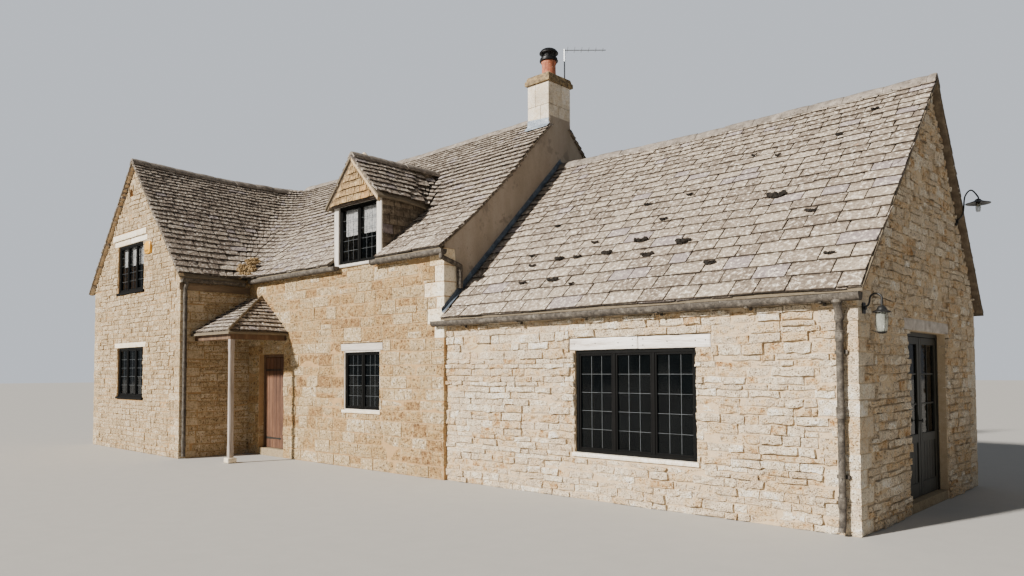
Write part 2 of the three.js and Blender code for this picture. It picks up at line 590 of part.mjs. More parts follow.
// The east wing's gutter empties into a hopper head over its pipe.
const eastGutter = { y: -66, rim: 2572, run: [-200, 6555] };
const eastPipe = { x: 6310, y: -5, straps: [1900, 600], strapHalf: 60, strapFront: 30 };
const hopper = { half: 75, reach: 50, wall: 10, bottom: 2290, top: 2500 };
const hopperFront = eastGutter.y - hopper.reach;
const hopperBack = eastPipe.y + hopper.reach;
const hopperHollow = box(eastPipe.x - hopper.half + hopper.wall, eastPipe.x + hopper.half - hopper.wall,
  hopperFront + hopper.wall, hopperBack - hopper.wall, hopper.bottom + hopper.wall, hopper.top);
const hopperHead = box(eastPipe.x - hopper.half, eastPipe.x + hopper.half, hopperFront, hopperBack,
  hopper.bottom, hopper.top).subtract(hopperHollow);
const eastStraps = eastPipe.straps.map((z) => box(eastPipe.x - eastPipe.strapHalf,
  eastPipe.x + eastPipe.strapHalf, eastPipe.strapFront, east.front, z, z + strap.height));
const eastBrackets = [500, 1700, 2900, 4100, 5300, 6150];
add('east_gutter', 'iron', join(
  gutterRun('x', eastGutter.y, eastGutter.rim, ...eastGutter.run, east.front, eastBrackets),
  hopperHead,
  pipe([vector(eastPipe.x, eastPipe.y, hopper.bottom + 2), vector(eastPipe.x, eastPipe.y, shoe)]),
  ...eastStraps,
));

// Alarm box by the upper window, and two swan-neck lanterns on the east gable
const alarm = { left: -8105, right: -7800, bottom: 4360, top: 4640, depth: 75, round: 60 };
const alarmCorners = [
  [alarm.right - alarm.round, alarm.bottom + alarm.round], [alarm.right - alarm.round, alarm.top - alarm.round],
  [alarm.left + alarm.round, alarm.top - alarm.round], [alarm.left + alarm.round, alarm.bottom + alarm.round],
];
const alarmShape = new THREE.Shape();
alarmCorners.forEach(([x, z], i) => {
  const start = ((i - 1) * Math.PI) / 2;
  alarmShape.absarc(x, z, alarm.round, start, start + Math.PI / 2, false);
});
add('alarm_box', 'amber', prism('y', alarmShape, wing.front - alarm.depth, wing.front));

// The arm leaves its wall plate, arches over and drops to the shade. The jar hangs below it.
const lanternArm = { radius: 11, plateWidth: 90, plateHeight: 120, plateThick: 20 };
const lanternHalf = { width: lanternArm.plateWidth / 2, height: lanternArm.plateHeight / 2 };
function lantern(name, { y, plateZ, rise, reach, shadeZ, shadeRadius, jar }) {
  const x = east.length;
  const arch = new THREE.CatmullRomCurve3([
    vector(x + lanternArm.plateThick / 2, y, plateZ), vector(x + reach * 0.35, y, plateZ + rise * 0.25),
    vector(x + reach * 0.45, y, plateZ + rise * 0.8), vector(x + reach * 0.72, y, plateZ + rise),
    vector(x + reach, y, plateZ + rise * 0.75), vector(x + reach, y, shadeZ),
  ]);
  const section = new THREE.Shape();
  section.absarc(0, 0, lanternArm.radius, 0, 2 * Math.PI, false);
  const arm = solid(new THREE.ExtrudeGeometry(section, {
    extrudePath: arch, steps: 20, curveSegments: 4, bevelEnabled: false,
  }));
  const shade = turned([[0, shadeZ - 5], [shadeRadius, shadeZ - 35], [shadeRadius, shadeZ - 25],
    [40, shadeZ + 25], [0, shadeZ + 35]], x + reach, y, 16);
  const jarBottom = shadeZ - 30 - jar;
  const glass = turned([[0, jarBottom], [jar * 0.2, jarBottom], [jar * 0.28, shadeZ - jar * 0.6],
    [jar * 0.28, shadeZ], [0, shadeZ + 10]], x + reach, y, 12);
  const wallPlate = box(x, x + lanternArm.plateThick, y - lanternHalf.width, y + lanternHalf.width,
    plateZ - lanternHalf.height, plateZ + lanternHalf.height);
  add(name, 'black', join(wallPlate, arm, shade, glass));
}
lantern('gable_lantern_front', {
  y: 210, plateZ: 2420, rise: 150, reach: 200, shadeZ: 2400, shadeRadius: 90, jar: 230,
});
lantern('gable_lantern_rear', {
  y: 4100, plateZ: 3895, rise: 430, reach: 300, shadeZ: 4150, shadeRadius: 160, jar: 120,
});

// The origin is moved to the centre of the outline on the ground.
const outline = new THREE.Box3().setFromObject(cottage);
const centre = outline.getCenter(new THREE.Vector3());
cottage.position.set(-Math.round(centre.x), -Math.round(centre.y), 0);

export default cottage;
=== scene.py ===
"""A limestone cottage with stone-slate roofs, dressed piece by piece around its CAD frame."""
import functools
import math
import random

import bmesh
import bpy
from mathutils import Matrix, Vector, noise


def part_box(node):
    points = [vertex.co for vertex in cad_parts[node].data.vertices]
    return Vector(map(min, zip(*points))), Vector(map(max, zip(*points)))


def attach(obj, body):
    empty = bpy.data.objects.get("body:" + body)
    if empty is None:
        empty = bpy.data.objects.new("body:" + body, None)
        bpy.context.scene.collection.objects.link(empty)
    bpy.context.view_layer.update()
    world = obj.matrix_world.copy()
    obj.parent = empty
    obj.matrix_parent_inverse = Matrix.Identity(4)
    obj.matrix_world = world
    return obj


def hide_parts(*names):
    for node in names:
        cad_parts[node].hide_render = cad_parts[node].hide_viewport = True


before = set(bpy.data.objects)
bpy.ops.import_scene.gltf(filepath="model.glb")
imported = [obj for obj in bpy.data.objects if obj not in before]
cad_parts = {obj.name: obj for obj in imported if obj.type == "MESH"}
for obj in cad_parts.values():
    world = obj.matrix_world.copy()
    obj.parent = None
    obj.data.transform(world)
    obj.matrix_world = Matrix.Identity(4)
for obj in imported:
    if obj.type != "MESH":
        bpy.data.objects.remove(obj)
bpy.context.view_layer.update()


# Rubble walls
# Coursed limestone in lime mortar, 450 mm thick. The walls are the frame's own and show as
# the mortar. Each face stone is a split block bedded in them, standing a little proud, and
# its tone follows the bed in the quarry that it came from.

wall_corner = Vector((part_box("main_front_wall")[1].x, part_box("main_front_wall")[0].y, 0))


def at(x, y, z=0.0):
    """A point measured from the foot of the main range's front corner, in metres."""
    return wall_corner + Vector((x, y, z))


def linear(code):
    """An sRGB hex colour as the linear one that a shader takes."""
    parts = [int(code[i : i + 2], 16) / 255 for i in (0, 2, 4)]
    return (*[p / 12.92 if p <= 0.04045 else ((p + 0.055) / 1.055) ** 2.4 for p in parts], 1.0)


def add_node(tree, kind, inputs=(), stops=(), **settings):
    """Adds a node with its settings and links. A node given as an input is linked from its first
    live output, and a socket from itself. stops are a ramp's hex colours by their positions."""
    made = tree.nodes.new(kind)
    for name, value in settings.items():
        setattr(made, name, value)
    for i, (position, code) in enumerate(dict(stops).items()):
        elements = made.color_ramp.elements
        element = elements[i] if i < len(elements) else elements.new(position)
        element.position, element.color = position, linear(code)
    for key, value in dict(inputs).items():
        if isinstance(value, bpy.types.Node):
            value = next(socket for socket in value.outputs if socket.enabled)
        if isinstance(value, bpy.types.NodeSocket):
            tree.links.new(value, made.inputs[key])
        else:
            made.inputs[key].default_value = value
    return made


def open_finish(name):
    """A new material, what adds nodes to its tree, and the object coordinates of its patterns."""
    material = bpy.data.materials.new(name)
    material.use_nodes = True
    material.node_tree.nodes.clear()
    add = functools.partial(add_node, material.node_tree)
    return material, add, add("ShaderNodeTexCoord").outputs["Object"]


def close_finish(material, sockets):
    """Ends a material with one Principled shader, given its sockets."""
    shader = add_node(material.node_tree, "ShaderNodeBsdfPrincipled", sockets)
    add_node(material.node_tree, "ShaderNodeOutputMaterial", {"Surface": shader})
    return material


def laid_over(add, colour, field, low, high, code, most=1.0, blend="MIX"):
    """A second colour over the first, from none of it where a field is low to the most of it
    where the field is high."""
    share = add("ShaderNodeMapRange", {
        "Value": field, "From Min": low, "From Max": high, "To Max": most})
    return add("ShaderNodeMix", {0: share, 6: colour, 7: linear(code)}, data_type="RGBA",
               blend_type=blend)


def stone_finish(name, tones, stain, grain=0.012, relief=0.005, even=0.4, stained=0.55,
                 pitted=0.45, smear=0.0):
    """Split or weathered stone. tones run from the darkest bed to the palest, stain is the colour
    of weathered patches about 0.8 m across, and grain the size of its pits in metres. even is the
    share of the tone that varies within a stone, stained where the patches begin, pitted how dark
    its pits are and how dark the painted shade along each stone's lower edge is, and smear how
    much of the bedding lime has spread over its edges."""
    material, add, place = open_finish(name)
    # One dark brown serves both the dirt in the pits and the painted shade under each stone.
    dirt_and_shade = "6b5a42"
    tone = add("ShaderNodeAttribute", attribute_name="tone").outputs["Fac"]
    patches, mottle, pits = [add("ShaderNodeTexNoise", {
        "Vector": place, "Scale": 1 / size, "Detail": detail, "Roughness": rough})
        for size, detail, rough in ((0.8, 5.0, 0.65), (0.09, 7.0, 0.75), (grain, 2.0, 0.6))]
    swing = add("ShaderNodeMapRange", {"Value": mottle, "From Min": 0.36, "From Max": 0.64})
    value = add("ShaderNodeMix", {0: even, 2: tone, 3: swing})
    stops = {0.08 + 0.84 * i / (len(tones) - 1): code for i, code in enumerate(tones)}
    colour = add("ShaderNodeValToRGB", {"Fac": value}, stops)
    colour = laid_over(add, colour, patches, stained, stained + 0.2, stain, 0.75)
    colour = laid_over(add, colour, pits, 0.46, 0.34, dirt_and_shade, pitted, "MULTIPLY")
    # The corner attribute is a point's place within its own block, from -0.5 to 0.5 each way.
    within = add("ShaderNodeAttribute", attribute_name="corner").outputs["Vector"]
    height = add("ShaderNodeSeparateXYZ", {0: within}).outputs["Z"]
    # Painted shade: the lower edge of each stone is darkened, broken by the mottle, for the shadow
    # under its ragged overhang, with some dirt in the hollows there.
    height = add("ShaderNodeMath", {0: mottle, 1: 0.3, 2: height}, operation="MULTIPLY_ADD")
    colour = laid_over(add, colour, height, -0.33, -0.37, dirt_and_shade, pitted, "MULTIPLY")
    within = add("ShaderNodeVectorMath", {0: within}, operation="ABSOLUTE")
    within = add("ShaderNodeSeparateXYZ", {0: within}).outputs
    edge = add("ShaderNodeMath", {0: within["X"], 1: within["Z"]}, operation="MAXIMUM")
    edge = add("ShaderNodeMath", {0: mottle, 1: 0.2, 2: edge}, operation="MULTIPLY_ADD")
    colour = laid_over(add, colour, edge, 0.53, 0.61, tones[-2], smear)
    height = add("ShaderNodeMath", {0: mottle, 1: 2.0, 2: pits}, operation="MULTIPLY_ADD")
    bump = add("ShaderNodeBump", {"Height": height, "Distance": relief, "Strength": 0.8})
    return close_finish(material, {"Base Color": colour, "Normal": bump, "Roughness": 0.92})


def open_tree(name, sockets, result):
    """A new geometry tree, what adds nodes to it, and its inputs, each given as its label, kind
    and default value."""
    tree = bpy.data.node_groups.new(name, "GeometryNodeTree")
    for label, kind, value in sockets:
        made = tree.interface.new_socket(label, in_out="INPUT", socket_type="NodeSocket" + kind)
        if value is not None:
            made.default_value = value
    tree.interface.new_socket(result, in_out="OUTPUT", socket_type="NodeSocketGeometry")
    return tree, functools.partial(add_node, tree), tree.nodes.new("NodeGroupInput").outputs


def scattered(add, points, shape):
    """A shape on every point, sized and turned by the point's attributes, and the turns."""
    size, turn = [add("GeometryNodeInputNamedAttribute", {"Name": key}, data_type="FLOAT_VECTOR")
                  for key in ("size", "turn")]
    rotation = add("FunctionNodeEulerToRotation", {"Euler": turn})
    return add("GeometryNodeInstanceOnPoints", {
        "Points": points, "Instance": shape, "Rotation": rotation, "Scale": size}), rotation


def uneven_by(add, amount, field):
    """A noise field as an offset of about the given amount each way."""
    centred = add("ShaderNodeVectorMath", {
        0: field.outputs["Color"], 1: (0.5, 0.5, 0.5)}, operation="SUBTRACT")
    double = add("ShaderNodeMath", {0: amount, 1: 4.0}, operation="MULTIPLY")
    return add("ShaderNodeVectorMath", {0: centred, 3: double}, operation="SCALE")


def close_tree(add, geometry, offset, finish, result):
    """Ends a geometry tree: its shapes are roughened by an offset and given their finish."""
    rough = add("GeometryNodeSetPosition", {"Geometry": geometry, "Offset": offset})
    done = add("GeometryNodeSetMaterial", {"Geometry": rough, "Material": finish})
    add("NodeGroupOutput", {result: done})


def block_tree():
    """Sets a block on every point, as wide, deep and high as its size says, and roughens it."""
    tree, add, given = open_tree("bedded_blocks", [
        ("Points", "Geometry", None), ("Cuts along", "Int", 4), ("Cuts deep", "Int", 2),
        ("Cuts up", "Int", 3), ("Worn edges", "Float", 0.005), ("Taper", "Float", 0.0),
        ("Roughness", "Float", 0.004), ("Grain", "Float", 0.05), ("Wander", "Float", 0.0),
        ("Seed", "Int", 1), ("Finish", "Material", None)], "Blocks")
    cube = add("GeometryNodeMeshCube", {
        "Vertices X": given["Cuts along"], "Vertices Y": given["Cuts deep"],
        "Vertices Z": given["Cuts up"]}).outputs["Mesh"]
    # Its rows of vertices crowd towards its edges, where a block wears.
    place = add("GeometryNodeInputPosition").outputs[0]
    wave = add("ShaderNodeVectorMath", {0: place, 1: (math.pi,) * 3}, operation="MULTIPLY")
    wave = add("ShaderNodeVectorMath", {0: wave}, operation="SINE")
    crowded = add("ShaderNodeVectorMath", {0: wave, 3: 0.5}, operation="SCALE")
    cube = add("GeometryNodeSetPosition", {"Geometry": cube, "Position": crowded})
    corner = add("GeometryNodeStoreNamedAttribute", {
        "Geometry": cube, "Name": "corner", "Value": place}, data_type="FLOAT_VECTOR")
    # Tapered blocks fan out towards their upper end.
    axes = add("ShaderNodeSeparateXYZ", {0: place}).outputs
    fan = add("ShaderNodeMath", {0: axes["Y"], 1: given["Taper"], 2: 1.0},
              operation="MULTIPLY_ADD")
    spread = add("ShaderNodeMath", {0: axes["X"], 1: fan}, operation="MULTIPLY")
    shaped = add("ShaderNodeCombineXYZ", {"X": spread, "Y": axes["Y"], "Z": axes["Z"]})
    block = add("GeometryNodeSetPosition", {"Geometry": corner, "Position": shaped})
    laid, rotation = scattered(add, given["Points"], block)
    chance = add("FunctionNodeRandomValue", {"Seed": given["Seed"]}, data_type="FLOAT")
    toned = add("GeometryNodeStoreNamedAttribute", {
        "Geometry": laid, "Name": "tone", "Value": chance}, data_type="FLOAT", domain="INSTANCE")
    real = add("GeometryNodeRealizeInstances", {"Geometry": toned})
    # A vertex inside a face keeps its place. One on an edge or a corner is drawn in.
    local = add("GeometryNodeInputNamedAttribute", {"Name": "corner"}, data_type="FLOAT_VECTOR")
    far = add("ShaderNodeVectorMath", {0: local}, operation="ABSOLUTE")
    outer = add("ShaderNodeVectorMath", {0: far, 1: (2.0, 2.0, 2.0), 2: (0.01, 0.01, 0.01)},
                operation="MULTIPLY_ADD")
    outer = add("ShaderNodeVectorMath", {0: outer}, operation="FLOOR")
    faces = add("ShaderNodeVectorMath", {0: outer, 1: (1.0, 1.0, 1.0)},
                operation="DOT_PRODUCT").outputs["Value"]
    over = add("ShaderNodeMath", {0: faces, 1: 1.0}, operation="SUBTRACT")
    over = add("ShaderNodeMath", {0: over, 1: 1.0}, operation="MINIMUM")
    drawn = add("ShaderNodeMath", {0: over, 1: given["Worn edges"]}, operation="MULTIPLY")
    inward = add("ShaderNodeVectorMath", {0: local}, operation="SIGN")
    inward = add("ShaderNodeVectorMath", {0: inward, 1: outer}, operation="MULTIPLY")
    back = add("ShaderNodeMath", {0: drawn, 1: -1.0}, operation="MULTIPLY")
    inward = add("ShaderNodeVectorMath", {0: inward, 3: back}, operation="SCALE")
    shift = add("FunctionNodeRotateVector", {"Vector": inward, "Rotation": rotation})
    # Rough faces differ from block to block, and the courses wander together.
    tone = add("GeometryNodeInputNamedAttribute", {"Name": "tone"}, data_type="FLOAT")
    own = add("ShaderNodeMath", {0: tone, 1: 61.0}, operation="MULTIPLY")
    fine = add("ShaderNodeMath", {0: 1.0, 1: given["Grain"]}, operation="DIVIDE")
    for w, scale, amount in ((own, fine, given["Roughness"]), (0.0, 1.4, given["Wander"])):
        field = add("ShaderNodeTexNoise", {
            "Vector": place, "W": w, "Scale": scale, "Detail": 1.0}, noise_dimensions="4D")
        shift = add("ShaderNodeVectorMath", {0: shift, 1: uneven_by(add, amount, field)})
    close_tree(add, real, shift, given["Finish"], "Blocks")
    return tree


blocks_tree = block_tree()


def linked(name, mesh):
    """A new object of a mesh, in the scene."""
    piece = bpy.data.objects.new(name, mesh)
    bpy.context.scene.collection.objects.link(piece)
    return piece


def grown(name, points, tree, values, **attributes):
    """Runs a node tree on points and keeps what it makes as a plain mesh."""
    mesh = bpy.data.meshes.new(name)
    mesh.from_pydata(points, [], [])
    for key, vectors in attributes.items():
        layer = mesh.attributes.new(key, "FLOAT_VECTOR", "POINT")
        layer.data.foreach_set("vector", [c for v in vectors for c in v])
    piece = linked(name, mesh)
    grower = piece.modifiers.new("grow", "NODES")
    grower.node_group = tree
    for socket in tree.interface.items_tree:
        if socket.in_out == "INPUT" and socket.name in values:
            grower[socket.identifier] = values[socket.name]
    graph = bpy.context.evaluated_depsgraph_get()
    made = bpy.data.meshes.new_from_object(piece.evaluated_get(graph), depsgraph=graph,
                                           preserve_all_data_layers=True)
    piece.modifiers.clear()
    piece.data = made
    made.name = name
    for key in attributes:
        if key in made.attributes:
            made.attributes.remove(made.attributes[key])
    return piece


def placed(piece, body="cottage", stands_for=()):
    """Rides a piece on its body and hides the nodes that it stands for."""
    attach(piece, body)
    if stands_for:
        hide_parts(*stands_for)
    return piece


def lay(name, blocks, finish, body="cottage", cuts=(4, 2, 3), worn=0.005, taper=0.0,
        rough=0.004, grain=0.05, wander=0.0, seed=1, stands_for=()):
    """One piece of many blocks, each given as its centre, size and turn."""
    values = {"Cuts along": cuts[0], "Cuts deep": cuts[1], "Cuts up": cuts[2], "Seed": seed,
              "Worn edges": worn, "Taper": taper, "Roughness": rough, "Grain": grain,
              "Wander": wander, "Finish": finish}
    points, sizes, turns = zip(*blocks)
    return placed(grown(name, points, blocks_tree, values, size=sizes, turn=turns), body,
                  stands_for)


def cut_round(cell, hole):
    """What is left of a cell (u0, u1, z0, z1) beside, under and over a hole."""
    u0, u1, z0, z1 = cell
    h0, h1, k0, k1 = hole
    if u1 <= h0 or u0 >= h1 or z1 <= k0 or z0 >= k1:
        return [cell]
    inner = (max(u0, h0), min(u1, h1))
    parts = ((u0, h0, z0, z1), (h1, u1, z0, z1), (*inner, z0, k0), (*inner, k1, z1))
    return [c for c in parts if c[1] - c[0] > 0.045 and c[3] - c[2] > 0.03]


def under_slope(cell, top, depth=0):
    """A cell cut down to stay under a sloping top, in narrower steps near the slope."""
    u0, u1, z0, z1 = cell
    limit = min(top(u0), top(u1))
    if z1 <= limit:
        return [cell]
    if depth < 3 and u1 - u0 > 0.09:
        middle = (u0 + u1) / 2
        return (under_slope((u0, middle, z0, z1), top, depth + 1)
                + under_slope((middle, u1, z0, z1), top, depth + 1))
    return [(u0, u1, z0, limit)] if limit - z0 > 0.03 else []


FRONT, EAST, REAR, WEST = 0, 90, 180, 270


def face_block(facing, face, u, z, width, height, depth, proud, lean=0.0, tilt=0.0):
    """A block in a wall face. The face is a y for the front and rear, and an x for the sides.
    lean tips its upper end in or out, and tilt turns it within the face."""
    inward = 1 if facing in (FRONT, WEST) else -1
    off = face + inward * (depth / 2 - proud)
    centre = at(u, off, z) if facing in (FRONT, REAR) else at(off, u, z)
    return centre, (width, depth, height), (lean, tilt, math.radians(facing))


quoin_holes = {}


def rubble(rng, facing, face, span, top, holes, heights, lengths, split, joint, proud, lean):
    """Courses of stones over one wall face, clear of its holes and corner stones and under its
    top. split is the share of them that are two thinner stones, proud how far they stand out,
    and lean how much they tip in or out."""
    stones, depth = [], 0.13
    z = 0.0
    while z < 7:
        height = rng.uniform(*heights)
        u = span[0] - rng.uniform(0, lengths[0])
        while u < span[1]:
            length = rng.uniform(*lengths) * (1.25 if rng.random() < 0.15 else 1)
            left, right = max(u, span[0]), min(u + length, span[1])
            u += length
            if right - left < 0.04:
                continue
            middle = z + height * rng.uniform(0.35, 0.65)
            cells = [(left, right, z, z + height)]
            if height > 0.12 and rng.random() < split:
                cells = [(left, right, z, middle), (left, right, middle, z + height)]
            for hole in holes + quoin_holes.get((facing, face), []):
                cells = [part for c in cells for part in cut_round(c, hole)]
            for c in [part for whole in cells for part in under_slope(whole, top)]:
                size = ((c[1] - c[0] - joint) * rng.uniform(0.97, 1),
                        (c[3] - c[2] - joint) * rng.uniform(0.93, 1))
                tilt = rng.gauss(0, 0.003 / size[0]) if size[0] > 0.1 else 0
                if min(size) > 0.02:
                    stones.append(face_block(facing, face, (c[0] + c[1]) / 2, (c[2] + c[3]) / 2,
                                             *size, depth, rng.uniform(*proud),
                                             rng.gauss(0, lean), tilt))
        z += height
    return stones


def flat(height):
    return lambda u: height


def pitched(ridge_at, ridge, low_slope, high_slope):
    """A gable's top, from the ridge's place and height and the slopes before and after it."""
    return lambda u: ridge - (low_slope if u < ridge_at else high_slope) * abs(u - ridge_at)


# Faces, slopes and openings, in metres from the main range's front corner. An opening is its
# two sides, its foot and its head.
MAIN_LEFT, WING_LEFT, EAST_END = -6.38, -11.208, 6.474
WING_FACE, EAST_FACE, EAST_REAR, REAR_FACE = -1.524, 0.065, 5.046, 5.946
WALL_TOP, EAST_TOP = 3.78, 2.63
MAIN = {"ridge": 6.75, "ridge_at": 2.973, "slope": 0.94025, "verge": 0.05, "end": -8.85}
WING = {"ridge": 6.598, "ridge_at": -8.794, "slope": 1.0961, "front": -1.63, "rear": 6.052}
SIDE = {"ridge": 5.713, "ridge_at": 2.963, "front_slope": 1.0043, "rear_slope": 1.3723,
        "verge": 6.58}
ROOF_DEPTH = 0.17
wing_span = (WING_LEFT, MAIN_LEFT)
wing_pitch = pitched(WING["ridge_at"], WING["ridge"] - ROOF_DEPTH, WING["slope"], WING["slope"])
upper_light = (-9.745, -8.255, 3.6, 4.7)
lower_light = (-9.705, -8.24, 1.2, 2.325)
main_light = (-2.8, -1.7, 1.05, 2.14)
east_light = (2.655, 4.555, 0.63, 2.04)
upper_lintel = (-9.965, -8.09, 4.7, 4.97)
lower_lintel = (-9.9, -8.09, 2.325, 2.44)
main_lintel = (-2.89, -1.61, 2.14, 2.285)
east_lintel = (2.57, 4.76, 2.04, 2.215)
vent_hole = (-9.1, -8.925, 5.8, 5.96)
front_doorway = (-5.93, -4.93, 0.0, 2.13)
gable_doorway = (1.75, 3.4, 0.0, 2.24)
dormer_gap = (-3.14, -1.67, 3.71, 4.5)
door_lintel = (1.6, 3.55, 2.24, 2.4)


def sill_under(light):
    """The sill below a window, as a hole for the rubble to keep clear of."""
    return light[0] - 0.05, light[1] + 0.05, light[2] - 0.06, light[2]


# Long and short quoins bind each outer corner. They are laid first, and the rubble meets them.
quoin_corners = [
    ("main", 0.0, 0.0, FRONT, EAST, 2.3, WALL_TOP, 0.25),
    ("wing", MAIN_LEFT, WING_FACE, FRONT, EAST, 0.0, WALL_TOP, 0.17),
    ("wing", WING_LEFT, WING_FACE, FRONT, WEST, 0.0, WALL_TOP, 0.17),
    ("wing", WING_LEFT, REAR_FACE, REAR, WEST, 0.0, WALL_TOP, 0.17),
    ("main", 0.0, REAR_FACE, REAR, EAST, 0.0, WALL_TOP, 0.24),
    ("east", EAST_END, EAST_FACE, FRONT, EAST, 0.0, EAST_TOP, 0.19),
    ("east", EAST_END, EAST_REAR, REAR, EAST, 0.0, EAST_TOP, 0.19),
]
quoin_rng = random.Random(7)
quoins = {"main": [], "wing": [], "east": []}
for label, x, y, along, across, low, high, rise in quoin_corners:
    z, turn = low, 0
    inward_x = -1 if across == EAST else 1
    inward_y = 1 if along == FRONT else -1
    while z < high - 0.08:
        height = min(quoin_rng.uniform(rise * 0.75, rise * 1.3), high - z)
        long, short = quoin_rng.uniform(0.34, 0.52), quoin_rng.uniform(0.18, 0.26)
        reach_x, reach_y = (long, short) if turn % 2 else (short, long)
        if x == y:
            # Render covers the return of the main front corner from 0.28 m on.
            reach_y = 0.28
        proud = quoin_rng.uniform(0.008, 0.016)
        middle = at(x + inward_x * (reach_x - proud) / 2, y + inward_y * (reach_y - proud) / 2,
                    z + height / 2)
        size = (reach_x + proud - 0.006, reach_y + proud - 0.006, height - 0.007)
        quoins[label].append((middle, size, (0, 0, 0)))
        for key, face, place, reach, inward in ((along, y, x, reach_x, inward_x),
                                                (across, x, y, reach_y, inward_y)):
            edges = sorted((place - inward * 0.1, place + inward * reach))
            quoin_holes.setdefault((key, face), []).append((*edges, z, z + height))
        z += height
        turn += 1

# Limestone rubble: split with a hammer, so each face is uneven and grainy. The main range is
# golden and squared, the wing greyer with lichen, and the east wing bleached nearly white.
pale_rubble = stone_finish("pale_coursed_limestone", [
    "ae7f49", "d6b487", "e6cca4", "d2bfa5", "ecd8b8", "f4e6cd", "fdf7ec"], "d2ab78", 0.016,
    0.045, 0.45, 0.56, 1.0, 0.35)
golden_rubble = stone_finish("golden_squared_limestone", [
    "8c6740", "b78f5c", "d2ae78", "cdb48c", "e6cb9e", "faeed6"], "b5905a", 0.03, 0.10, 0.45,
    0.52, 0.95, 0.6)
wing_rubble = stone_finish("weathered_limestone_rubble", [
    "8f7757", "b49c76", "c4ac87", "d3be9c", "e2d3b8"], "ad9873", 0.03, 0.05, 0.6, 0.55, 0.9, 0.6)
# How far the stones of each kind of walling stand out, at the least and the most.
flush, rough_faced, thin_bedded = (0.008, 0.019), (0.009, 0.026), (0.003, 0.042)
wide_courses, thin_courses = ((0.1, 0.18), (0.16, 0.42), 0.3), ((0.08, 0.16), (0.16, 0.42), 0.3)
# Each piece: finish, seed, joint, how proud, roughness, and its faces. A face is its facing and
# place, its span, its top, its holes, the courses' heights and lengths, and the share split.
rubble_faces = {
    "main_front_stones": (golden_rubble, 11, 0.003, flush, 0.006, [
        (FRONT, 0.0, (MAIN_LEFT, 0.008), flat(WALL_TOP),
         [main_light, main_lintel, sill_under(main_light), front_doorway, dormer_gap],
         (0.17, 0.26), (0.3, 0.6), 0.12)]),
    "main_rear_stones": (golden_rubble, 12, 0.003, flush, 0.006, [
        (REAR, REAR_FACE, (MAIN_LEFT, 0.0), flat(WALL_TOP), [main_light, sill_under(main_light)],
         (0.13, 0.23), (0.2, 0.5), 0.3)]),
    "wing_front_stones": (wing_rubble, 13, 0.004, rough_faced, 0.009, [
        (FRONT, WING_FACE, wing_span, wing_pitch,
         [upper_light, lower_light, upper_lintel, lower_lintel, vent_hole,
          sill_under(upper_light), sill_under(lower_light)], (0.08, 0.15), (0.13, 0.34), 0.35)]),
    "wing_side_stones": (wing_rubble, 14, 0.004, rough_faced, 0.006, [
        (EAST, MAIN_LEFT, (WING_FACE, 0.0), flat(WALL_TOP), [], *wide_courses),
        (WEST, WING_LEFT, (WING_FACE, REAR_FACE), flat(WALL_TOP), [], *wide_courses)]),
    "wing_rear_stones": (wing_rubble, 15, 0.005, rough_faced, 0.009, [
        (REAR, REAR_FACE, wing_span, wing_pitch,
         [upper_light, lower_light, sill_under(upper_light), sill_under(lower_light)],
         *wide_courses)]),
    "east_front_stones": (pale_rubble, 16, 0.004, thin_bedded, 0.015, [
        (FRONT, EAST_FACE, (0.0, EAST_END), flat(EAST_TOP),
         [east_light, east_lintel, sill_under(east_light)], (0.055, 0.135), (0.14, 0.42), 0.2)]),
    "east_gable_stones": (pale_rubble, 17, 0.004, thin_bedded, 0.015, [
        (EAST, EAST_END, (EAST_FACE, EAST_REAR),
         pitched(SIDE["ridge_at"], SIDE["ridge"] - ROOF_DEPTH, SIDE["front_slope"],
                 SIDE["rear_slope"]), [gable_doorway, door_lintel], (0.06, 0.135), (0.16, 0.42),
         0.2)]),
    "east_rear_stones": (pale_rubble, 18, 0.004, thin_bedded, 0.015, [
        (REAR, EAST_REAR, (0.0, EAST_END), flat(EAST_TOP), [], *thin_courses)]),
}
for name, (finish, seed, joint, proud, rough, faces) in rubble_faces.items():
    rng = random.Random(seed)
    stones = [stone for face in faces for stone in rubble(rng, *face, joint, proud, rough * 4)]
    lay(name, stones, finish, cuts=(6, 2, 4), worn=0.004, rough=rough, grain=0.06,
        wander=0.012, seed=seed)

# Lime mortar, sharp sand and lime putty, struck nearly flush and weathered back: it fills the
# joints of the rubble and plasters the inside of the walls.
pale_mortar = stone_finish("pale_lime_mortar", ["bfa786", "d2bd9b", "e2cfb0"], "c2ad86", 0.004,
                           0.003)
golden_mortar = stone_finish("golden_lime_mortar", ["a5845a", "bd9a6c", "cfb083"], "ac8d62",
                             0.004, 0.003)


def refinish(finish, *nodes):
    """Gives the frame's own nodes their real finish."""
    for node in nodes:
        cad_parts[node].data.materials.clear()
        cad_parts[node].data.materials.append(finish)


refinish(pale_mortar, "east_front_wall", "east_rear_wall", "east_gable_wall_front",
         "east_gable_wall_rear", "east_wall_over_door")
refinish(golden_mortar, "wing_front_wall", "wing_west_wall", "wing_rear_wall", "wing_east_wall",
         "main_front_wall_left", "main_wall_over_door", "main_front_wall", "main_rear_wall")


# Quoins, stone lintels and sills
# Roughly squared blocks of the palest bed at the corners, and a sawn stone lintel over each of
# the wing's windows, the upper with a thin hood stone. Sloping sills lie under the others.

ashlar = stone_finish("sawn_limestone", ["cdb390", "dfcfb2", "eadfcb", "f5efe2"], "d8c6a4", 0.02,
                      0.005, even=0.55)
quoin_stone = stone_finish("pale_quoin_stone", ["c9a877", "dcc6a0", "e9dcc2", "f3ecdc"],
                           "cfae7d", 0.03, 0.014, 0.45, 0.5, 0.6, 0.5)
for label, finish in (("main", quoin_stone), ("wing", wing_rubble), ("east", pale_rubble)):
    lay(label + "_quoins", quoins[label], finish, cuts=(5, 5, 4), worn=0.004,
        rough=0.004, grain=0.09, seed=3)


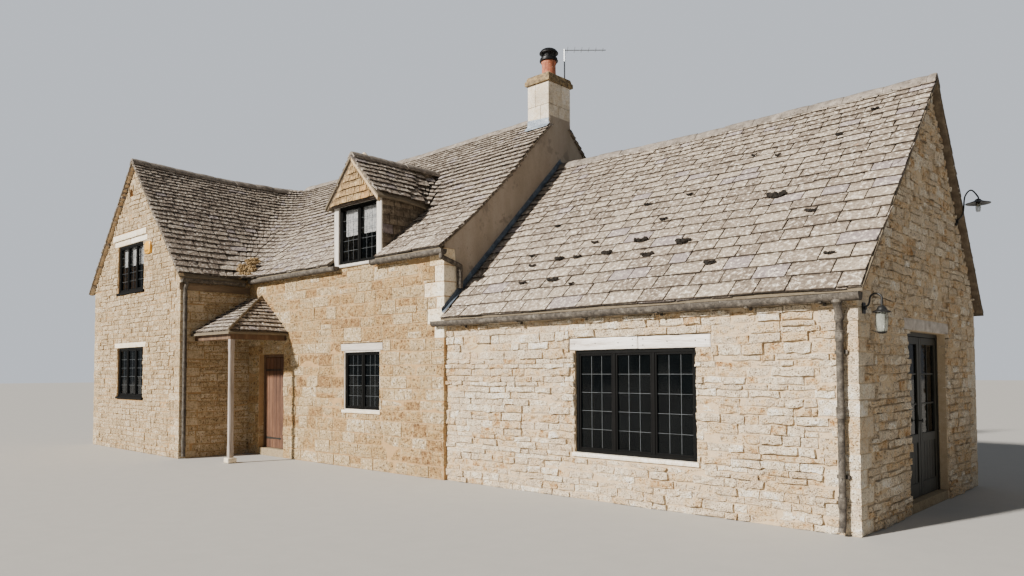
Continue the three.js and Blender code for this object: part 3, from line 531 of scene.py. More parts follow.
def dressed(name, boxes, finish, body="cottage", stands_for=(), cuts=(12, 4, 3),
            worn=0.005, rough=0.002, grain=0.12):
    """Dressed blocks or beams, each given as its lowest and highest corners in plan metres."""
    blocks = [(at(*[(a + b) / 2 for a, b in zip(low, high)]),
               [b - a for a, b in zip(low, high)], (0, 0, 0)) for low, high in boxes]
    return lay(name, blocks, finish, body, cuts, worn, 0.0, rough, grain, 0.0, 5,
               stands_for)


u0, u1, z0, z1 = upper_lintel
middle = (u0 + u1) / 2
dressed("upper_window_hood", [
    ((u0, -1.534, z0), (middle - 0.002, -1.374, z0 + 0.127)),
    ((middle + 0.002, -1.534, z0), (u1, -1.374, z0 + 0.127)),
    ((u0 - 0.02, -1.570, z0 + 0.13), (u1 + 0.02, -1.414, z1))], ashlar,
    stands_for=["wing_upper_lintel"])
u0, u1, z0, z1 = lower_lintel
dressed("lower_window_lintel", [((u0, -1.534, z0), (u1, -1.374, z1))], ashlar,
        stands_for=["wing_lower_lintel"])
sills = []
for light, face, out in ((main_light, 0.0, -1), (east_light, EAST_FACE, -1),
                         (upper_light, REAR_FACE, 1), (lower_light, REAR_FACE, 1),
                         (main_light, REAR_FACE, 1)):
    u0, u1, z0, z1 = sill_under(light)
    y0, y1 = sorted((face + out * 0.035, face - out * 0.12))
    sills.append(((u0 + 0.01, y0, z0 + 0.005), (u1 - 0.01, y1, z1 + 0.004)))
dressed("window_sills", sills, ashlar)
refinish(ashlar, "ridge_vent")


# Floors
# Inside are a flagged ground floor, of worn limestone laid on sand, and wide oak boards above,
# nailed to their joists.


def mottled_finish(name, stops, patch, grit, relief, roughness, stretch=(1, 1, 1), spots=None,
        spot_size=0.02, **sockets):
    """A weathered surface. Its colour runs through the stops' hex colours in patches of the
    given size, and grit is the size of its relief, both in metres. stretch draws the pattern out
    along an axis. spots is a second colour's (hex, share) for lichen, rust or dirt."""
    material, add, place = open_finish(name)
    drawn = add("ShaderNodeMapping", {"Vector": place, "Scale": stretch})
    patches = add("ShaderNodeTexNoise", {
        "Vector": drawn, "Scale": 1 / patch, "Detail": 6.0, "Roughness": 0.65})
    grain = add("ShaderNodeTexNoise", {
        "Vector": drawn, "Scale": 1 / grit, "Detail": 3.0, "Roughness": 0.6})
    both = add("ShaderNodeMix", {0: 0.35, 2: patches, 3: grain})
    spread = add("ShaderNodeMapRange", {"Value": both, "From Min": 0.32, "From Max": 0.68})
    colour = add("ShaderNodeValToRGB", {"Fac": spread}, stops)
    if spots:
        speckle = add("ShaderNodeTexNoise", {
            "Vector": place, "Scale": 1 / spot_size, "Detail": 4.0, "Roughness": 0.7})
        level = 0.75 - 0.35 * spots[1]
        colour = laid_over(add, colour, speckle, level, level + 0.06, spots[0])
    bump = add("ShaderNodeBump", {"Height": grain, "Distance": relief, "Strength": 0.7})
    return close_finish(material, {
        "Base Color": colour, "Normal": bump, "Roughness": roughness, **sockets})


flags = stone_finish("worn_flagstones", ["8d7c60", "a49274", "b7a688"], "7f6f55", 0.02)
boards = mottled_finish("wide_oak_boards", {0.0: "5d4228", 0.5: "7d5c3a", 1.0: "96724b"},
    0.25, 0.01, 0.001, 0.55, (0.12, 1, 1))
refinish(flags, "ground_floor", "east_floor")
refinish(boards, "upper_floor")


# Timber lintels
# Old oak beams over the lower windows. The east one is two beams end to end, limewashed, with
# shakes and nail heads. The main range's is bleached by the weather.

limewashed_oak = mottled_finish("limewashed_oak", {0.0: "8f8275", 0.3: "cdc3b8",
    0.55: "eae4dc", 1.0: "faf7f2"}, 0.07, 0.012, 0.008, 0.85, (0.08, 1, 1), ("7d6f60", 0.35),
    0.014)
bleached_oak = mottled_finish("bleached_oak", {0.0: "83776a", 0.4: "aaa094", 0.7: "c4bbb0",
    1.0: "d5cdc3"}, 0.1, 0.008, 0.003, 0.88, (0.08, 1, 1))
black_iron = mottled_finish("forged_black_iron", {0.0: "15140f", 0.6: "211f1b",
    1.0: "34302a"}, 0.05, 0.004, 0.0006, 0.5, (1, 1, 1), ("5a3c24", 0.12), 0.015)
u0, u1, z0, z1 = east_lintel
joint_at = 3.71
dressed("east_lintel_beams", [((u0, 0.052, z0 + 0.004), (joint_at - 0.003, 0.205, z1 - 0.006)),
    ((joint_at + 0.003, 0.055, z0), (u1, 0.205, z1 - 0.01))], limewashed_oak,
    cuts=(24, 4, 4), worn=0.006, rough=0.0035, grain=0.16, stands_for=["east_lintel"])
u0, u1, z0, z1 = main_lintel
dressed("main_lintel_beam", [((u0, -0.014, z0), (u1, 0.14, z1 - 0.004))], bleached_oak,
    cuts=(16, 4, 4), worn=0.007, rough=0.0035, stands_for=["main_lintel"])
nail_rng = random.Random(4)
nails = []
for x in (2.66, 3.02, 3.4, 3.63, 3.79, 4.15, 4.55, 4.69):
    # Two nails hold each beam beside the joint, one over the other.
    for z in (2.09, 2.17) if x in (3.63, 3.79) else (2.13,):
        nails.append((at(x, 0.05, z), (0.016, 0.008, 0.016), (0, nail_rng.random(), 0)))
lay("lintel_nails", nails, black_iron, cuts=(4, 2, 4), worn=0.002, rough=0.0,
    seed=6)


# Stone-slate roofs
# Split limestone slates hung on laths, in courses that diminish from the eaves to the ridge.
# Where two slopes meet, the courses sweep round the valley on tapered slates, with no lead.
# The laths have given a little, so the ridges sag and the eaves kick out.


def slate_finish(name, tones, crust_tone, algae_and_shade, pale=0.60, dark=0.42, odd="857b82"):
    """Limestone slates. crust_tone is the pale lichen that covers the old ones, and algae_and_shade
    the dark growth, whose colour the painted shade takes too. pale and dark say how much of a face
    each takes. Orange lichen dots a few of them. Their tails, the strips beside their joints and
    the strips under the next course up are darkened: painted shade of the tails and of the course
    above, with some dirt."""
    material, add, place = open_finish(name)
    tone = add("ShaderNodeAttribute", attribute_name="tone").outputs["Fac"]
    patch, crust, spot, grit, orange = [add("ShaderNodeTexNoise", {
        "Vector": place, "Scale": 1 / size, "Detail": detail, "Roughness": 0.65})
        for size, detail in ((0.9, 3.0), (0.05, 6.0), (0.11, 4.0), (0.022, 3.0), (0.16, 5.0))]
    swing = add("ShaderNodeMapRange", {"Value": crust, "From Min": 0.36, "From Max": 0.64})
    value = add("ShaderNodeMix", {0: 0.55, 2: tone, 3: swing})
    stops = {0.06 + 0.88 * i / (len(tones) - 1): code for i, code in enumerate(tones)}
    colour = add("ShaderNodeValToRGB", {"Fac": value}, stops)
    # One slate in twelve or so is of another bed, bluer on the roofs.
    colour = laid_over(add, colour, tone, 0.92, 0.93, odd, 0.6)
    colour = laid_over(add, colour, crust, pale - 0.06, pale + 0.06, crust_tone)
    # Specks of dark lichen and pits, each a few centimetres across.
    colour = laid_over(add, colour, grit, 0.42, 0.34, algae_and_shade, 0.6)
    # Dark growth in spots, thickest in patches about a metre wide.
    spotted = add("ShaderNodeMapRange", {"Value": spot, "From Min": dark, "From Max": dark - 0.07})
    shaded = add("ShaderNodeMapRange", {"Value": patch, "From Min": 0.62, "From Max": 0.38})
    grime = add("ShaderNodeMath", {0: spotted, 1: shaded}, operation="MULTIPLY")
    colour = add("ShaderNodeMix", {0: grime, 6: colour, 7: linear(algae_and_shade)}, data_type="RGBA")
    colour = laid_over(add, colour, orange, 0.72, 0.76, "b9752f", 0.7)
    # Painted shade with some dirt: darker all along the tail, under the next course up and beside
    # the joints where the crust is thin.
    within = add("ShaderNodeAttribute", attribute_name="corner").outputs["Vector"]
    within = add("ShaderNodeSeparateXYZ", {0: within}).outputs
    beside = add("ShaderNodeMath", {0: within["X"]}, operation="ABSOLUTE")
    tail, under, beside, broken = [add("ShaderNodeMapRange", {
        "Value": field, "From Min": low, "From Max": high, "To Min": least, "To Max": most})
        for field, low, high, least, most in (
            (within["Y"], -0.478, -0.492, 0.0, 0.92), (within["Y"], -0.12, -0.045, 0.0, 0.45),
            (beside, 0.478, 0.492, 0.0, 0.75), (crust, 0.66, 0.45, 0.25, 1.0))]
    dirt_and_shade = add("ShaderNodeMath", {0: under, 1: beside}, operation="MAXIMUM")
    dirt_and_shade = add("ShaderNodeMath", {0: dirt_and_shade, 1: broken}, operation="MULTIPLY")
    dirt_and_shade = add("ShaderNodeMath", {0: dirt_and_shade, 1: tail}, operation="MAXIMUM")
    colour = add("ShaderNodeMix", {0: dirt_and_shade, 6: colour, 7: linear(algae_and_shade)}, data_type="RGBA")
    height = add("ShaderNodeMath", {0: crust, 1: 2.0, 2: grit}, operation="MULTIPLY_ADD")
    bump = add("ShaderNodeBump", {"Height": height, "Distance": 0.01, "Strength": 1.0})
    return close_finish(material, {"Base Color": colour, "Normal": bump, "Roughness": 0.94})


# The roofs' ridges, slopes and edges that their courses follow, in the same plan metres.
DORMER = {"ridge": 5.8, "ridge_at": -2.405, "slope": 1.0482, "eave": 4.93, "front": -0.15,
          "left": -3.14, "right": -1.67}
PORCH = {"left": -6.38, "right": -4.75, "front": -1.3, "eave": 2.57, "top": 3.39,
         "front_slope": 0.6308, "side_slope": 0.7455}
STACK = {"left": -0.52, "front": 2.65, "rear": 3.298}
VALLEY_BEND = 0.6
DORMER_BEND = 0.3
HOUSE_EAVE = 3.8


def hump(t):
    return math.sin(math.pi * min(max(t, 0.0), 1.0))


def house_top(x, y):
    wing = WING["ridge"] - WING["slope"] * abs(x - WING["ridge_at"])
    main = MAIN["ridge"] - MAIN["slope"] * abs(y - MAIN["ridge_at"])
    return max(main, wing) if x > WING["ridge_at"] else wing


def side_top(x, y):
    slope = SIDE["front_slope"] if y < SIDE["ridge_at"] else SIDE["rear_slope"]
    return SIDE["ridge"] - slope * abs(y - SIDE["ridge_at"])


def dormer_top(x, y):
    return DORMER["ridge"] - DORMER["slope"] * abs(x - DORMER["ridge_at"])


def porch_top(x, y):
    return min(PORCH["eave"] + (y - PORCH["front"]) * PORCH["front_slope"],
        PORCH["eave"] + (PORCH["right"] - x) * PORCH["side_slope"], PORCH["top"])


def with_dormer(x, y):
    """The top of the house's roofs, the dormer's too."""
    inside = abs(x - DORMER["ridge_at"]) < 0.95 and DORMER["front"] - 0.1 < y < 2.0
    return max(house_top(x, y), dormer_top(x, y) if inside else 0.0)


def house_sag(x, y, z=0.0):
    """How far the main range's and the wing's roofs have sunk at a point. The ridges sag between
    the gables, and the main range's slopes are hollow, most beside its gable, but not the
    dormer's, which lies above them."""
    away = abs(y - MAIN["ridge_at"])
    run = ((x + 8.8) / 8.8) ** 0.8 if x > -8.8 else 0
    main_part = 0.055 * hump(run) * max(0.0, 1 - away / 3.1)
    wing_part = 0.07 * hump((y + 1.6) / 5.0) * max(0.0, 1 - abs(x - WING["ridge_at"]) / 2.6)
    plane = MAIN["ridge"] - MAIN["slope"] * away
    valley_x = WING["ridge_at"] + (WING["ridge"] - plane) / WING["slope"]
    hollow = 0.112 - 0.03 * min(1.0, max(0.0, -x / 4))
    hollow *= hump((3.22 - away) / 2.45) * min(1.0, max(0.0, (x - valley_x) / 1.2))
    if abs(x - DORMER["ridge_at"]) < 0.95 and y < 2.0:
        hollow *= 1 - min(1.0, max(0.0, (z - plane) / 0.45))
    return main_part + wing_part + hollow


def side_sag(x, y, z=0.0):
    return 0.045 * hump(x / 6.5) * max(0.0, 1 - abs(y - SIDE["ridge_at"]) / 3.1)


def no_sag(x, y, z=0.0):
    return 0.0


def level_line(corners, slopes, bends):
    """A course as samples (plan point, slope, on a bend), swept round its inner corners."""
    corners = [Vector(c) for c in corners]
    ways = [(b - a).normalized() for a, b in zip(corners, corners[1:])]
    samples = [(corners[0], slopes[0], False)]
    for i, corner in enumerate(corners[1:-1]):
        before, after, bend = ways[i], ways[i + 1], bends[i]
        centre = corner + (after - before) * bend
        for step in range(9):
            angle = step / 8 * math.pi / 2
            outward = before * math.sin(angle) - after * math.cos(angle)
            slope = 1 / (math.cos(angle) / slopes[i] + math.sin(angle) / slopes[i + 1])
            samples.append((centre + outward * bend, slope, step < 8))
    samples.append((corners[-1], slopes[-1], False))
    return samples


def along_line(samples, distance):
    """The plan point, slope and whether it is on a bend, at a distance along a course."""
    for (a, slope_a, bent), (b, slope_b, _) in zip(samples, samples[1:]):
        step = (b - a).length
        if distance <= step and step > 0:
            t = distance / step
            return a.lerp(b, t), slope_a + (slope_b - slope_a) * t, bent
        distance -= step
    return samples[-1][0].copy(), samples[-1][1], False


def hang_course(rng, samples, z, sag, top, exposure, widths, thick, uneven, lists, lap=2.15,
        drop=0.0):
    """Hangs one course of slates along its line. lists holds the plain and the tapered ones. A
    slate whose head would stand above the roof's top is cut shorter."""
    total = sum((b[0] - a[0]).length for a, b in zip(samples, samples[1:]))
    start = -0.008
    while start < total - 0.05:
        bent = along_line(samples, start + 0.05)[2]
        width = rng.uniform(*widths) * (0.42 if bent else 1)
        end = min(start + width, total + rng.uniform(-0.01, 0.012))
        if total - end < 0.09:
            end = total + rng.uniform(-0.01, 0.012)
        a = along_line(samples, max(start, 0))[0]
        b = along_line(samples, min(end, total))[0]
        _, slope, bent = along_line(samples, (start + end) / 2)
        way = (b - a).normalized()
        pitch = math.atan(slope)
        across = Vector((way.x, way.y, 0))
        rise = Vector((-way.y * math.cos(pitch), way.x * math.cos(pitch), math.sin(pitch)))
        out = across.cross(rise)
        own_thick = thick * rng.uniform(0.75, 1.3)
        length = exposure * lap
        tilt = math.atan(thick * 0.95 / exposure)
        rise_tilted = (rise * math.cos(tilt) - out * math.sin(tilt)).normalized()
        out_tilted = across.cross(rise_tilted)
        turned = Matrix.Rotation(rng.gauss(0, 0.008 + 0.5 * uneven), 3, out_tilted)
        across, rise_tilted = turned @ across, turned @ rise_tilted
        middle = (a + b) / 2
        tail = Vector((middle.x, middle.y, z - sag(middle.x, middle.y, z)))
        tail += out * (thick * 0.5 + rng.gauss(0, uneven * 0.35) - drop)
        tail += rise * rng.gauss(0, uneven)
        for share in (1.0, 0.85, 0.7, 0.55, 0.4, 0.28):
            head = tail + rise_tilted * length * share
            height = top(head.x, head.y)
            if head.z <= height - sag(head.x, head.y, height) + (0.2 if bent else 0.03):
                break
        length *= share
        centre = tail + rise_tilted * length / 2 - out_tilted * own_thick / 2
        facing = Matrix((across, rise_tilted, out_tilted)).transposed().to_euler()
        size = ((end - start - 0.006) * (1.3 if bent else 1.0), length, own_thick)
        lists[1 if bent else 0].append((wall_corner + centre, size, tuple(facing)))
        start = end


def course_heights(low, high, slope, first, last):
    """The tails' heights and exposures of courses that diminish up a slope."""
    length = (high - low) / math.sin(math.atan(slope))
    done = 0.0
    while done < length - last * 0.7:
        exposure = first + (last - first) * (done / length) ** 0.85
        yield low + done * math.sin(math.atan(slope)), exposure
        done += exposure


def front_lines(z):
    """The front courses of the wing's right slope, the main range and the dormer's sides."""
    y = MAIN["ridge_at"] - (MAIN["ridge"] - z) / MAIN["slope"]
    slopes, bends, start = [MAIN["slope"]], [], [(MAIN["end"], y)]
    if z < WING["ridge"]:
        x = WING["ridge_at"] + (WING["ridge"] - z) / WING["slope"]
        start = [(x, WING["front"]), (x, y)]
        slopes, bends = [WING["slope"], MAIN["slope"]], [VALLEY_BEND]
    end = (STACK["left"] if y > STACK["front"] - 0.12 else MAIN["verge"], y)
    if z >= DORMER["ridge"] - 0.13:
        return [level_line(start + [end], slopes, bends)]
    if z < DORMER["eave"]:
        return [level_line(start + [(DORMER["left"], y)], slopes, bends),
            level_line([(DORMER["right"], y), end], [MAIN["slope"]], [])]
    away = (DORMER["ridge"] - z) / DORMER["slope"]
    left, right = DORMER["ridge_at"] - away, DORMER["ridge_at"] + away
    bend = min(DORMER_BEND, away)
    return [level_line(start + [(left, y), (left, DORMER["front"])], slopes + [DORMER["slope"]],
        bends + [bend]), level_line([(right, DORMER["front"]), (right, y), end],
        [DORMER["slope"], MAIN["slope"]], [bend])]


def rear_lines(z):
    """The rear courses of the main range, swept into the wing's right slope."""
    y = MAIN["ridge_at"] + (MAIN["ridge"] - z) / MAIN["slope"]
    start = (STACK["left"] if y < STACK["rear"] + 0.12 else MAIN["verge"], y)
    if z >= WING["ridge"]:
        return [level_line([start, (MAIN["end"], y)], [MAIN["slope"]], [])]
    x = WING["ridge_at"] + (WING["ridge"] - z) / WING["slope"]
    bend = min(VALLEY_BEND, WING["rear"] - y)
    if bend < 0.1:
        return [level_line([start, (x, y)], [MAIN["slope"]], [])]
    return [level_line([start, (x, y), (x, WING["rear"])], [MAIN["slope"], WING["slope"]], [bend])]


def west_lines(z):
    x = WING["ridge_at"] - (WING["ridge"] - z) / WING["slope"]
    return [level_line([(x, WING["rear"]), (x, WING["front"])], [WING["slope"]], [])]


def side_front_lines(z):
    y = SIDE["ridge_at"] - (SIDE["ridge"] - z) / SIDE["front_slope"]
    return [level_line([(0.01, y), (SIDE["verge"], y)], [SIDE["front_slope"]], [])]


def side_rear_lines(z):
    y = SIDE["ridge_at"] + (SIDE["ridge"] - z) / SIDE["rear_slope"]
    return [level_line([(SIDE["verge"], y), (0.01, y)], [SIDE["rear_slope"]], [])]


def porch_front_lines(z):
    y = PORCH["front"] + (z - PORCH["eave"]) / PORCH["front_slope"]
    x = PORCH["right"] - (z - PORCH["eave"]) / PORCH["side_slope"]
    return [level_line([(PORCH["left"], y), (x, y)], [PORCH["front_slope"]], [])]


def porch_side_lines(z):
    y = PORCH["front"] + (z - PORCH["eave"]) / PORCH["front_slope"]
    x = PORCH["right"] - (z - PORCH["eave"]) / PORCH["side_slope"]
    return [level_line([(x, y), (x, 0.0)], [PORCH["side_slope"]], [])]


house_slate = slate_finish("weathered_stone_slate", ["65594d", "7d6f62", "928475", "a89a88",
    "c0b29f"], "e9dfd0", "2c241b", pale=0.59)
side_slate = slate_finish("sunlit_stone_slate", ["685c50", "807263", "968878", "ab9c89", "c3b5a1"],
    "ebe1d1", "30271e", pale=0.60, dark=0.39)
# The slates' least and most widths, at the eaves and at the ridge.
low_sizes, high_sizes = ((0.20, 0.42), (0.12, 0.24)), ((0.26, 0.56), (0.15, 0.30))
porch_sizes = ((0.16, 0.3), (0.1, 0.2))
house_courses, side_courses, porch_courses = (0.215, 0.105), (0.265, 0.115), (0.16, 0.10)
# Each slope: its finish and seed, its courses, the heights of the lowest and highest tails, its
# pitch, how much of a slate shows at the eaves and at the ridge, the slates' widths, thickness and
# unevenness, and the roof's sag and top.
roofs = {
    "front_slates": (house_slate, 21, front_lines, HOUSE_EAVE, 6.72, MAIN["slope"],
                     house_courses, low_sizes, 0.029, 0.007, house_sag, with_dormer),
    "rear_slates": (house_slate, 22, rear_lines, HOUSE_EAVE, 6.72, MAIN["slope"],
                    house_courses, low_sizes, 0.029, 0.007, house_sag, house_top),
    "west_slates": (house_slate, 23, west_lines, 3.78, 6.56, WING["slope"],
                    house_courses, low_sizes, 0.029, 0.007, house_sag, house_top),
    "side_front_slates": (side_slate, 24, side_front_lines, 2.63, 5.69, SIDE["front_slope"],
                          side_courses, high_sizes, 0.021, 0.005, side_sag, side_top),
    "side_rear_slates": (side_slate, 25, side_rear_lines, 2.63, 5.69, SIDE["rear_slope"],
                         side_courses, high_sizes, 0.021, 0.005, side_sag, side_top),
    "porch_front_slates": (house_slate, 26, porch_front_lines, 2.585, 3.37,
                           PORCH["front_slope"], porch_courses, porch_sizes, 0.028, 0.005,
                           no_sag, porch_top),
    "porch_side_slates": (house_slate, 27, porch_side_lines, 2.585, 3.37, PORCH["side_slope"],
                          porch_courses, porch_sizes, 0.028, 0.005, no_sag, porch_top),
}
for name, values in roofs.items():
    finish, seed, lines, low, high, slope, exposures, widths, thick, uneven, sag, top = values
    rng = random.Random(seed)
    plain, tapered = [], []
    for z, exposure in course_heights(low, high, slope, *exposures):
        share = (z - low) / (high - low)
        width = [w0 + (w1 - w0) * share for w0, w1 in zip(*widths)]
        for samples in lines(z):
            hang_course(rng, samples, z, sag, top, exposure, width, thick, uneven,
                (plain, tapered))
            if z == low:
                hang_course(rng, samples, z, sag, top, exposure, width, thick, uneven,
                    (plain, tapered), lap=1.2, drop=thick)
    lay(name, plain, finish, cuts=(5, 4, 2), worn=0.004, rough=0.0045, grain=0.09,
        wander=0.009, seed=seed)
    if tapered:
        lay(name + "_swept", tapered, finish, cuts=(3, 4, 2), worn=0.004, rough=0.0045,
            grain=0.09, wander=0.009, seed=seed, taper=0.46)


def trimmed(piece, point, normal):
    """Cuts a piece's closed blocks at a plane, keeps what is behind it and closes the cuts."""
    made = bmesh.new()
    made.from_mesh(piece.data)
    bmesh.ops.bisect_plane(made, geom=[*made.verts, *made.edges, *made.faces], plane_co=point,
        plane_no=normal, clear_outer=True)
    bmesh.ops.holes_fill(made, edges=[e for e in made.edges if e.is_boundary])
    made.to_mesh(piece.data)
    made.free()


hip = at(PORCH["right"], PORCH["front"], 0)
away_from_hip = Vector((PORCH["side_slope"], PORCH["front_slope"], 0)).normalized()
trimmed(bpy.data.objects["porch_front_slates"], hip, away_from_hip)
trimmed(bpy.data.objects["porch_side_slates"], hip, -away_from_hip)


# Roof beds
# The laths and the lime torching under the slates. Each is the frame's roof, with its upper
# side let down under the slates and following their sag.
torching = stone_finish("lime_torching", ["6a5f4d", "7d705b", "8f8169"], "5f5444", 0.006)


def roof_bed(node, top, sag, drop):
    """A copy of a roof node, merged, cut into a grid and let down under its slates."""
    made = bmesh.new()
    made.from_mesh(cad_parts[node].data)
    bmesh.ops.remove_doubles(made, verts=made.verts, dist=1e-5)
    low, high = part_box(node)
    for axis in (0, 1):
        place = low[axis] + 0.5
        while place < high[axis]:
            point, normal = Vector(), Vector()
            point[axis], normal[axis] = place, 1
            bmesh.ops.bisect_plane(made, geom=[*made.verts, *made.edges, *made.faces],
                plane_co=point, plane_no=normal)
            place += 0.5
    for vertex in made.verts:
        x, y, z = vertex.co - wall_corner
        ceiling = top(x, y) - drop - sag(x, y)
        if z > top(x, y) - 0.02:
            vertex.co.z = ceiling
        elif z > ceiling - 0.02:
            vertex.co.z = ceiling - 0.02
    mesh = bpy.data.meshes.new(node + "_bed")
    made.to_mesh(mesh)
    made.free()
    mesh.materials.clear()
    mesh.materials.append(torching)
    return placed(linked(node + "_bed", mesh), stands_for=[node])


roof_bed("main_roof", house_top, house_sag, 0.052)
roof_bed("wing_roof", house_top, house_sag, 0.052)
roof_bed("east_roof", side_top, side_sag, 0.046)
roof_bed("dormer_roof", dormer_top, lambda x, y: house_sag(x, y, dormer_top(x, y)), 0.045)
roof_bed("porch_roof", porch_top, no_sag, 0.036)


# Ridges and hip
# Stone ridge pieces about half a metre long, bedded in lime mortar that has spread over their
# joints. The porch's hip is a fillet of the same mortar.

# Blender seeds its noise vectors by the clock, so a seed of their own keeps each run the same.
noise.seed_set(9)
ridge_mortar = mottled_finish("ridge_stone_and_mortar", {0.0: "4a4239", 0.35: "71685e",
    0.65: "8d8378", 1.0: "b6aea2"}, 0.14, 0.01, 0.006, 0.94, (1, 1, 1), ("3b342b", 0.42), 0.04)


def loft(made, rings):
    """Joins closed rings of points, each with as many points, and closes both ends."""
    rows = [[made.verts.new(point) for point in ring] for ring in rings]
    count = len(rows[0])
    for a, b in zip(rows, rows[1:]):
        for i in range(count):
            made.faces.new((a[i], a[(i + 1) % count], b[(i + 1) % count], b[i]))
    made.faces.new(rows[0][::-1])
    made.faces.new(rows[-1])


def made_piece(name, made, finish, body="cottage", stands_for=(), smooth=35):
    """Turns a bmesh of closed shells into a piece, with its edges sharp above an angle."""
    bmesh.ops.recalc_face_normals(made, faces=made.faces)
    mesh = bpy.data.meshes.new(name)
    made.to_mesh(mesh)
    made.free()
    mesh.materials.append(finish)
    mesh.shade_smooth()
    mesh.set_sharp_from_angle(angle=math.radians(smooth))
    return placed(linked(name, mesh), body, stands_for)


def ridge_course(name, start, end, drops, sag, half, seed, lift=0.012, length=0.5,
        finish=ridge_mortar):
    """Ridge stones from start to end. drops are the slopes to their left and right."""
    rng = random.Random(seed)
    made = bmesh.new()
    start, end = Vector(start), Vector(end)
    way = (end - start).normalized()
    aside = Vector((-way.y, way.x, 0)).normalized()
    total = (end - start).length
    done = 0.0
    while done < total - 0.05:
        stretch = min(length * rng.uniform(0.8, 1.15), total - done)
        own = rng.gauss(0, 0.004)
        rings = []
        for step in range(5):
            along = done + 0.003 + (stretch - 0.006) * step / 4
            centre = start + way * along
            centre.z += lift + own - sag(centre.x, centre.y)
            worn = 0.006 if step in (0, 4) else 0.0
            ring = []
            for side, over in ((1, 0.0), (1, 0.032), (0.5, 0.040), (0.12, 0.030), (-0.12, 0.030),
                    (-0.5, 0.040), (-1, 0.032), (-1, 0.0)):
                fall = drops[0] if side > 0 else drops[1]
                point = centre + aside * half * side
                point.z += over - worn - half * abs(side) * fall
                ring.append(point)
            for side in (-0.25, 0.25):
                fall = drops[0] if side > 0 else drops[1]
                point = centre + aside * half * side
                point.z -= 0.02 + half * abs(side) * fall
                ring.append(point)
            shift = Vector((seed, 0, 0))
            rings.append([wall_corner + p + noise.noise_vector(p * 9 + shift) * 0.005
                for p in ring])
        loft(made, rings)
        done += stretch
    return made_piece(name, made, finish, smooth=50)


ridge_course("main_ridge", (-8.80, MAIN["ridge_at"], MAIN["ridge"]),
    (STACK["left"], MAIN["ridge_at"], MAIN["ridge"]), (0.940, 0.940), house_sag, 0.125, 31)
ridge_course("wing_ridge", (WING["ridge_at"], WING["front"], WING["ridge"]),
    (WING["ridge_at"], WING["rear"], WING["ridge"]), (WING["slope"], WING["slope"]), house_sag,
    0.115, 32)
ridge_course("side_ridge", (0.01, SIDE["ridge_at"], SIDE["ridge"]),
    (SIDE["verge"], SIDE["ridge_at"], SIDE["ridge"]), (SIDE["rear_slope"], SIDE["front_slope"]),
    side_sag, 0.115, 33)
ridge_course("dormer_ridge", (DORMER["ridge_at"], DORMER["front"], DORMER["ridge"]),
    (DORMER["ridge_at"], 1.98, DORMER["ridge"]), (DORMER["slope"], DORMER["slope"]), no_sag,
    0.105, 34, length=0.4)
ridge_course("porch_hip", (PORCH["right"] + 0.02, PORCH["front"] - 0.02, 2.575),
    (-5.85, 0.0, PORCH["top"]), (0.36, 0.36), no_sag, 0.022, 35, lift=-0.008, length=0.3,
    finish=torching)


# Verges
# Each verge is bedded on a strip of lime mortar between the slates and the wall. Its dark brown
# is partly weathering and partly painted shade, for the shadow under the slates' ends, but for
# the wing's, which has been pointed again.

# Dark brown mortar: partly weathered, partly painted shade under the verges.
weathered_and_shaded_mortar = mottled_finish("verge_mortar_weathered_and_shaded", {0.0: "4b4033", 0.5: "6d5f4e",
    1.0: "94836b"}, 0.12, 0.01, 0.004, 0.95)
new_mortar = mottled_finish("tan_verge_mortar", {0.0: "927c5f", 0.4: "b49c7a", 0.8: "c9b391",
    1.0: "d9c8aa"}, 0.12, 0.008, 0.004, 0.95, (1, 1, 1), ("6b5b45", 0.3), 0.04)


def verge(made, start, end, outward, top, sag, wide, deep, below=0.05, steps=24):
    """A strip under the slates' ends, between two plan points. outward is away from the wall."""
    start, end, outward = Vector(start), Vector(end), Vector((*outward, 0))
    rings = []
    for step in range(steps + 1):
        place = start.lerp(end, step / steps)
        place.z = top(place.x, place.y) - sag(place.x, place.y) - below
        ring = []
        for back, down in ((0, 0), (wide, 0), (wide, deep), (0.012, deep), (0, deep * 0.8)):
            point = place - outward * back - Vector((0, 0, down))
            ring.append(wall_corner + point + noise.noise_vector(point * 9) * 0.004)
        rings.append(ring)
    loft(made, rings)


made = bmesh.new()
for y0, y1 in ((-0.13, 2.64), (3.31, 6.08)):
    verge(made, (0.042, y0, 0), (0.042, y1, 0), (1, 0), house_top, house_sag, 0.06, 0.03)
for y in (-0.06, 5.14):
    verge(made, (6.57, y, 0), (6.57, SIDE["ridge_at"], 0), (1, 0), side_top, side_sag, 0.11, 0.06)
for x in (-11.37, -6.22):
    verge(made, (x, 6.03, 0), (WING["ridge_at"], 6.03, 0), (0, 1), house_top, house_sag, 0.09,
        0.07)
made_piece("verge_bedding", made, weathered_and_shaded_mortar, smooth=60)
made = bmesh.new()
verge(made, (-6.22, -1.61, 0), (WING["ridge_at"], -1.61, 0), (0, -1), house_top, house_sag, 0.09,
    0.075)
verge(made, (-11.37, -1.605, 0), (WING["ridge_at"], -1.605, 0), (0, -1), house_top, house_sag,
    0.09, 0.05)
made_piece("wing_verge_pointing", made, new_mortar, smooth=60)


# Lime render
# The main range's east gable is floated in smooth grey-beige lime render, from the east wing's
# roof up to the verges and round the foot of the stack. The rain has streaked it.

